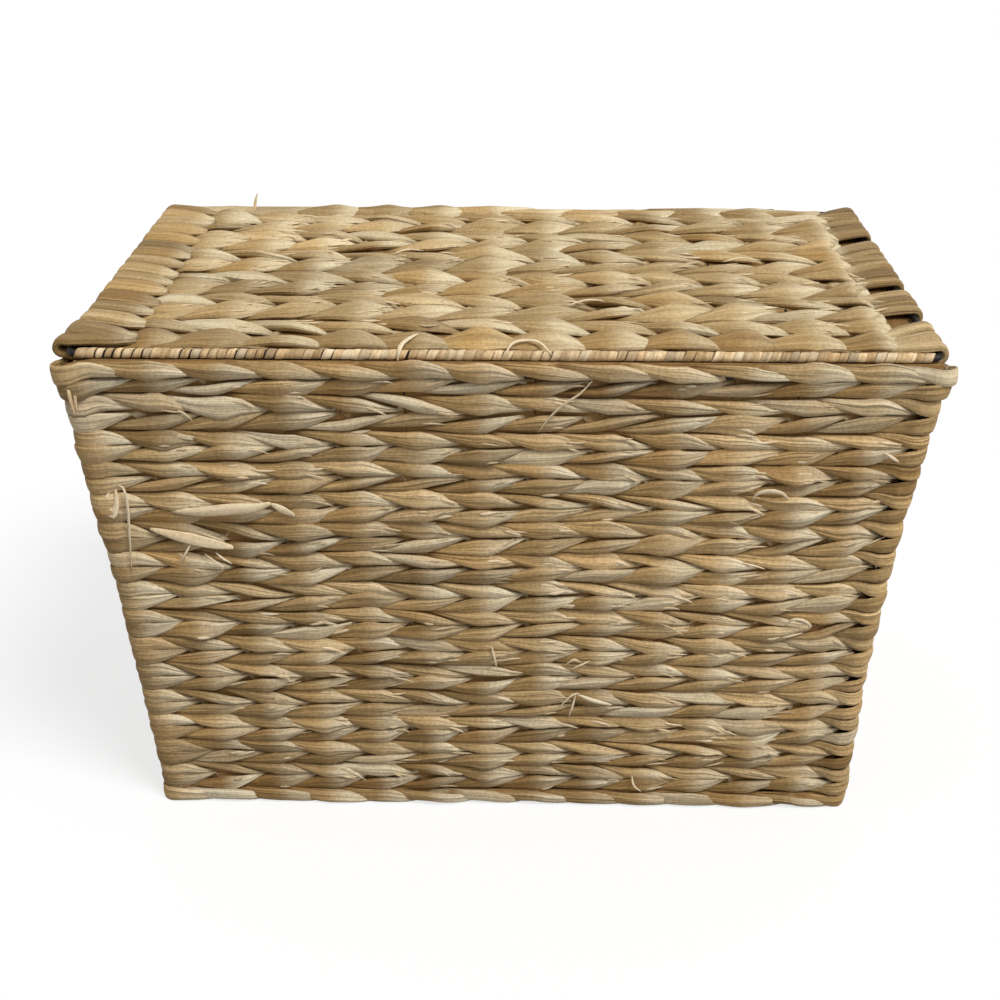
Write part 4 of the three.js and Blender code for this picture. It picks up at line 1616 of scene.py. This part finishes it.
    def build(self, material: Material, split_fibre: Material | None = None) -> None:
        """Make the panel.

        Args:
            material: Its material.
            split_fibre: Material of its slivers, if it has any.
        """
        u = np.arange(self.first, self.last + 0.5 / self.steps, 1 / self.steps)
        mesh = StemMesh(self.name, sides=self.sides, runs=self.runs(u))
        mesh.build(material, self.body, self.slot, [self.node])
        lining = StemMesh(self.lining_name, sides=6, runs=[self.lining(u)])
        lining.build(material, self.body, self.slot)
        if self.slivers:
            slivers = SplitTips(self.slivers, self.spans - 1, self.seed + 5, turn=self.tip_turn)
            tips = StemMesh(self.tips_name, sides=6, runs=[slivers.run(mesh.runs[0], u)])
            tips.build(split_fibre or material, self.body, Slot.PALE_FIBRE)


@dataclass
class LidBorder:
    """Stems turned round one side wire of the lid: in over the panel, round the wire, and back under it.

    Bands nearest to the places of its gaps are missing, and a stem coloured with painted shade fills the
    space behind the bands, so the gaps look dark.
    """

    name: str
    node: str
    side: int
    bands: int
    inner: float
    slant: float
    seed: int
    front: float = -112.5 * MM
    back: float = 117.5 * MM
    bend: float = 3.1 * MM
    half_thickness: float = 1.7 * MM
    overlap: float = 1.06
    back_shade: float = 0.0
    lightness: float = -0.08
    dip: float = 0.0
    front_flare: float = 0.0
    flare_length: float = 45 * MM
    gaps: tuple[float, ...] = ()
    tints: Pair = (0.1, 0.9)
    pitch_spread: float = 0.25
    slant_spread: float = 0.3
    bulge: float = 0.7 * MM
    front_room: float = 0.35
    taper: Pair = (0.35, 2.2)
    paleness: float = 0.8
    pale_share: float = 0.45
    flat_stations: int = 9
    fill_stations: int = 24
    fill_width: float = 0.4
    fill_drop: float = 1.5 * MM
    fill_margin: float = 4 * MM
    sides: int = 10

    def turned(self, wire: float, middle: float) -> StemRun:
        """Make the bands round the wire.

        Args:
            wire: How far aside the wire lies.
            middle: The wire's height.

        Returns:
            The run of the bands.
        """
        rng = np.random.default_rng(self.seed)
        y, pitch = uneven_rows(self.front, self.back, np.ones(self.bands), self.seed, self.pitch_spread)
        flat = np.linspace(0.0, 1.0, self.flat_stations)
        turn = np.linspace(0.0, np.pi, self.flat_stations)[1:-1]
        run_in = wire - self.inner
        over = self.inner + run_in * flat
        around = wire + self.bend * np.sin(turn)
        x = np.concatenate([over, around, wire - run_in * flat])
        level = self.bend - self.dip * (1 - flat)
        z = np.concatenate([level, self.bend * np.cos(turn), -level[::-1]])
        share = np.concatenate([flat, np.ones_like(turn), 1 - flat])
        each = (self.bands, 1)
        lift = rng.uniform(-0.25, 0.35, each) * MM
        bulge = self.bulge * np.sin(np.pi * share) * np.sign(z)
        slope = self.slant * (1 - share) * (1 + rng.normal(0.0, self.slant_spread, each))
        flare = self.front_flare * (1 - smooth_step(self.front, self.front + self.flare_length, y))[:, None]
        centres = np.zeros((self.bands, len(x), 3))
        centres[..., 0] = self.side * (x + flare * share)
        centres[..., 1] = np.maximum(y[:, None] + slope, self.front + self.front_room * pitch[:, None])
        centres[..., 2] = middle + z + bulge + lift * np.sign(z)
        tangent = unit(np.gradient(centres, axis=1))
        taper = np.clip(self.taper[0] + self.taper[1] * share, 0.0, 1.0)
        shade = self.back_shade * np.linspace(0, 1, self.bands)[:, None]
        run = StemRun.spread(
            centres,
            BACK,
            unit(np.cross(tangent, BACK)) * -self.side,
            half_width=0.5 * pitch[:, None] * self.overlap * taper,
            half_thickness=self.half_thickness,
            along=np.linspace(0.0, 2.0, len(x)),
            tone=np.clip(self.lightness + rng.beta(2.0, 2.0, each) - shade, 0, 1),
            tint=rng.uniform(*self.tints, each),
            tip=self.paleness * (1 - smooth_step(0.0, self.pale_share, share)) * rng.uniform(0.2, 1.0, each),
            skew=rng.uniform(-0.35, 0.35, each),
        )
        missing = [int(np.abs(y - gap).argmin()) for gap in self.gaps]
        return StemRun(**{name: np.delete(values, missing, axis=0) for name, values in vars(run).items()})

    def fill(self, wire: float, middle: float) -> StemRun:
        """Make the stem behind the bands, coloured dark with painted shade.

        Args:
            wire: How far aside the wire lies.
            middle: The wire's height.

        Returns:
            The run of one stem.
        """
        ends = (self.front + self.fill_margin, self.back - self.fill_margin)
        centres = np.zeros((1, self.fill_stations, 3))
        centres[..., 0] = self.side * (wire + self.inner) / 2
        centres[..., 1] = np.linspace(*ends, self.fill_stations)
        centres[..., 2] = middle - self.fill_drop
        width = np.array([self.fill_width * (wire - self.inner)])
        along = np.linspace(0.0, 8.0, self.fill_stations)
        # Painted shade: the stem takes almost wholly the dark colour, so the gaps between the bands look
        # dark.
        return FillStem(tone=0.0, hollow=1.0).run(centres, -RIGHT, UP, width, along)

    def build(self, material: Material) -> None:
        """Make the border.

        Args:
            material: Its material.
        """
        low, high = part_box(self.node)
        wire = (high.x if self.side > 0 else -low.x) - (high.z - low.z) / 2
        middle = (low.z + high.z) / 2
        runs = [self.turned(wire, middle), self.fill(wire, middle)]
        mesh = StemMesh(self.name, sides=self.sides, runs=runs)
        mesh.build(material, Body.LID, Slot.LID_STEMS, [self.node])


@dataclass
class FrontWhipping:
    """Pale fibre wound closely round the lid's front wire."""

    name: str = "lid_front_whipping_fibre"
    node: str = "lid_front_whipping"
    turns: int = 90
    steps: int = 16
    half_width: float = 1.84 * MM
    half_thickness: float = 0.3 * MM
    wire_radius: float = 1.6 * MM
    wander: float = 0.9 * MM
    thicknesses: Pair = (0.6, 2.0)
    widths: Pair = (1.0, 1.35)
    gaps: tuple[float, ...] = (0.024, 0.039, 0.052, 0.078, 0.133, 0.148, 0.164, 0.22, 0.386)
    gap_reach: float = 0.007
    gap_narrowing: float = 0.24
    seed: int = 57

    def build(self, material: Material) -> None:
        """Make the winding.

        Args:
            material: Its material.
        """
        low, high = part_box(self.node)
        middle_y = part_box("lid_frame_wire")[0].y + self.wire_radius
        middle_z = (low.z + high.z) / 2
        rng = np.random.default_rng(self.seed)
        count = self.turns * self.steps + 1
        share = np.linspace(0.0, 1.0, count)
        angle = -2 * np.pi * self.turns * share
        turn = np.minimum((share * self.turns).astype(int), self.turns - 1)
        radius = self.wire_radius + self.half_thickness
        knots = np.linspace(0, 1, self.turns + 1)

        def varied(least: float, most: float) -> Array:
            """Draw a number at each turn, and ease from one to the next."""
            return np.interp(share, knots, rng.uniform(least, most, self.turns + 1))

        def drawn(least: float, most: float) -> Array:
            """Draw a number for each whole turn."""
            return rng.uniform(least, most, self.turns)[turn]

        held_ends = np.sin(np.pi * share) ** 0.3
        x = low.x + (high.x - low.x) * share + varied(-self.wander, self.wander) * held_ends
        thick = varied(*self.thicknesses)
        from_gap = (share[None] - np.array(self.gaps)[:, None]) / self.gap_reach
        near_gap = np.exp(-(from_gap**2)).max(axis=0)
        width = varied(*self.widths) * (1 - self.gap_narrowing * near_gap)
        outward = np.stack([np.zeros_like(angle), np.cos(angle), np.sin(angle)], axis=-1)
        middle = np.stack([x, np.full(count, middle_y), np.full(count, middle_z)], axis=-1)
        centres = (middle + radius * outward)[None]
        run = StemRun.spread(
            centres,
            unit(np.cross(outward, unit(np.gradient(centres, axis=1)))),
            outward,
            half_width=self.half_width * width,
            half_thickness=self.half_thickness * thick,
            along=angle / 6,
            tone=drawn(0.25, 1.0),
            tint=drawn(0.2, 0.8),
            tip=0.7 * drawn(0.0, 1.0) ** 3,
            hollow=0.6 * drawn(0.0, 1.0) ** 2,
            skew=drawn(-0.6, 0.6),
        )
        StemMesh(self.name, sides=8, runs=[run]).build(material, Body.LID, Slot.PALE_FIBRE, [self.node])


# Wires


@dataclass
class WireFrame:
    """The iron wires, which keep their own shape."""

    rings: tuple[str, ...] = ("top_rim", "base_rim", "lid_frame", "hinge_loop")
    rods: tuple[str, ...] = ("corner_post", "long_stake", "cross_stake", "lid_stake")

    def dress(self, material: Material) -> None:
        """Paint every wire.

        Args:
            material: The paint.
        """
        for name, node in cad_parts.items():
            if name.startswith(self.rings + self.rods):
                node.data.materials.clear()
                node.data.materials.append(material)
                LOG.info("%s: painted", name)


# Studio


@dataclass
class Studio:
    """Floor, light and camera."""

    focal_pixels: float = 1541.8
    camera_place: Place = (10.7 * MM, -764.6 * MM, 507.1 * MM)
    pitch_down: float = math.radians(26.23)
    yaw_left: float = math.radians(1.045)
    floor_size: float = 12.0
    floor_glow: float = 0.72
    covered_half_width: float = 176 * MM
    covered_half_depth: float = 96 * MM
    ambient: float = 0.42
    lamp_side: Place = (0.5, -0.5, 1.0)
    lamp_spread: float = math.radians(24)
    lamp_strength: float = 2.2

    def build(self) -> None:
        """Make the floor, the world, the lamp and the camera."""
        bpy.context.scene.view_settings.view_transform = "Standard"
        self.build_floor()
        self.build_world()
        self.build_lamp()
        self.build_camera()

    def build_floor(self) -> None:
        """Make a pale floor that is white where nothing shades it."""
        mesh = bpy.data.meshes.new("floor")
        reach = self.floor_size / 2
        corners = [(-reach, -reach, 0), (reach, -reach, 0), (reach, reach, 0), (-reach, reach, 0)]
        mesh.from_pydata(corners, [], [(0, 1, 2, 3)])
        floor = bpy.data.objects.new("floor", mesh)
        bpy.context.scene.collection.objects.link(floor)
        made, sketch, shader = new_material("pale_floor")
        shader.inputs["Base Color"].default_value = (0.3, 0.3, 0.3, 1.0)
        shader.inputs["Roughness"].default_value = 0.9
        shader.inputs["Specular IOR Level"].default_value = 0.0
        shader.inputs["Emission Color"].default_value = WHITE
        place = sketch.add("ShaderNodeSeparateXYZ", {0: sketch.add("ShaderNodeTexCoord").outputs["Object"]})
        away = [sketch.math("ABSOLUTE", place.outputs[axis]) for axis in ("X", "Y")]
        past_side = sketch.math("GREATER_THAN", away[0], self.covered_half_width)
        past_front = sketch.math("GREATER_THAN", away[1], self.covered_half_depth)
        open_floor = sketch.math("MULTIPLY", sketch.math("MAXIMUM", past_side, past_front), self.floor_glow)
        glow = sketch.math("MULTIPLY", self.seen(sketch), open_floor)
        sketch.feed(shader.inputs["Emission Strength"], glow)
        floor.data.materials.append(made)

    @staticmethod
    def seen(sketch: NodeSketch) -> Socket:
        """Tell the rays that show a surface from those that only light others.

        Args:
            sketch: Sketch of the tree that asks.

        Returns:
            One for rays from the camera, a reflection or a clear surface, and zero for others.
        """
        path = sketch.add("ShaderNodeLightPath")
        direct = sketch.math("MAXIMUM", path.outputs["Is Camera Ray"], path.outputs["Is Glossy Ray"])
        return sketch.math("MAXIMUM", direct, path.outputs["Is Transmission Ray"])

    def build_world(self) -> None:
        """Make even light all round, in front of a white background."""
        world = bpy.data.worlds.new("studio")
        world.use_nodes = True
        bpy.context.scene.world = world
        sketch = NodeSketch(world.node_tree)
        light = world.node_tree.nodes["Background"]
        light.inputs["Color"].default_value = WHITE
        light.inputs["Strength"].default_value = self.ambient
        white = sketch.add("ShaderNodeBackground", {"Color": WHITE, "Strength": 1.0})
        mixed = {0: self.seen(sketch), 1: light.outputs[0], 2: white.outputs[0]}
        shown = sketch.add("ShaderNodeMixShader", mixed)
        sketch.feed(world.node_tree.nodes["World Output"].inputs["Surface"], shown.outputs[0])

    def build_lamp(self) -> None:
        """Hang a soft lamp far away."""
        lamp = bpy.data.lights.new("overhead_lamp", "SUN")
        lamp.angle = self.lamp_spread
        lamp.energy = self.lamp_strength
        holder = bpy.data.objects.new("overhead_lamp", lamp)
        holder.location = self.lamp_side
        holder.rotation_euler = (-Vector(self.lamp_side)).to_track_quat("-Z", "Y").to_euler()
        bpy.context.scene.collection.objects.link(holder)

    def build_camera(self) -> None:
        """Stand the camera at the photograph's view."""
        camera = bpy.data.cameras.new("camera")
        camera.sensor_width = 36.0
        camera.lens = self.focal_pixels * camera.sensor_width / IMAGE_WIDTH
        camera.clip_start = 0.01
        holder = bpy.data.objects.new("camera", camera)
        holder.location = self.camera_place
        holder.rotation_euler = Euler((math.pi / 2 - self.pitch_down, 0.0, self.yaw_left))
        bpy.context.scene.collection.objects.link(holder)
        bpy.context.scene.camera = holder


def floor_panel() -> FlatTwine:
    """Size the basket's twined floor.

    Returns:
        The floor's panel.
    """
    low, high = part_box("base_weave")
    return FlatTwine(
        name="base_weave_stems",
        node="base_weave",
        body=Body.BASKET,
        slot=Slot.WALL_STEMS,
        middle=(low.z + high.z) / 2,
        front=low.y,
        back=high.y,
        half_run=175.6 * MM,
        rows=13,
        twine=TwineShape(depth=4.0 * MM, half_thickness=2.3 * MM, tip=0.26, root=0.3),
        first=0.15,
        last=12.85,
        sides=8,
        steps=8,
        lining_name="base_lining_stems",
        lining_share=0.3,
        seed=71,
    )


def lid_panel() -> FlatTwine:
    """Size the lid's twined panel.

    Returns:
        The lid's panel.
    """
    low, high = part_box("lid_weave")
    return FlatTwine(
        name="lid_weave_stems",
        node="lid_weave",
        body=Body.LID,
        slot=Slot.LID_STEMS,
        middle=(low.z + high.z) / 2,
        front=low.y,
        back=118.3 * MM,
        half_run=195.5 * MM,
        rows=13,
        twine=TwineShape(
            depth=2.6 * MM,
            half_thickness=2.2 * MM,
            crown=0.5,
            root=0.07,
            tip=0.05,
            start=-0.84,
            crown_start=0.1,
            crown_end=0.22,
            end=0.9,
            tip_power=1.2,
            lead=1.4,
            sway=0.7,
            thin=0.5,
            lay_painted_light=0.0,
            width_spread=0.17,
            depth_spread=0.18,
            rise_spread=0.06,
            ahead=0.0,
        ),
        first=0.3,
        last=12.5,
        steps=12,
        sides=14,
        slivers=260,
        tips_name="lid_split_tips",
        lining_name="lid_lining_stems",
        left_sink=2.2 * MM,
        right_lift=1.6 * MM,
        last_cut=0.46,
        seed=33,
    )


def lid_borders() -> tuple[LidBorder, LidBorder]:
    """Size the lid's side borders.

    Returns:
        The left border and the right one.
    """
    left = LidBorder(
        name="lid_left_border_stems",
        node="lid_left_border",
        side=-1,
        bands=16,
        inner=166.0 * MM,
        slant=-11.0 * MM,
        front_flare=4.5 * MM,
        seed=91,
    )
    right = LidBorder(
        name="lid_right_border_stems",
        node="lid_right_border",
        side=1,
        bands=20,
        inner=172.0 * MM,
        slant=-9.0 * MM,
        front=-114.5 * MM,
        overlap=0.98,
        back_shade=0.6,
        lightness=0.12,
        dip=2.2 * MM,
        gaps=(57 * MM, -31 * MM, -68 * MM),
        tints=(0.0, 0.45),
        seed=97,
    )
    return left, right


def main() -> None:
    """Build the studio and every piece of the basket."""
    logging.basicConfig(level=logging.INFO, format="%(name)s: %(message)s")
    Studio().build()
    fibre_group()
    stem_colour_group()
    wall_stems = WALL_STEMS.material()
    lid_stems = LID_STEMS.material()
    pale_fibre = PALE_FIBRE.material()
    split_fibre = SPLIT_FIBRE.material()
    WireFrame().dress(WireFinish().material())
    BasketWalls(WallShape.from_frame()).build(wall_stems, split_fibre)
    floor_panel().build(wall_stems)
    lid_panel().build(lid_stems, split_fibre)
    for border in lid_borders():
        border.build(lid_stems)
    FrontWhipping().build(pale_fibre)
    LooseFibres("front_loose_fibres", Body.BASKET, (0.0, -1.0, 0.08), FRONT_STRANDS).build(pale_fibre)
    LooseFibres("lid_loose_fibres", Body.LID, (0.0, -0.2, 1.0), LID_STRANDS).build(pale_fibre)


if __name__ == "__main__":
    main()
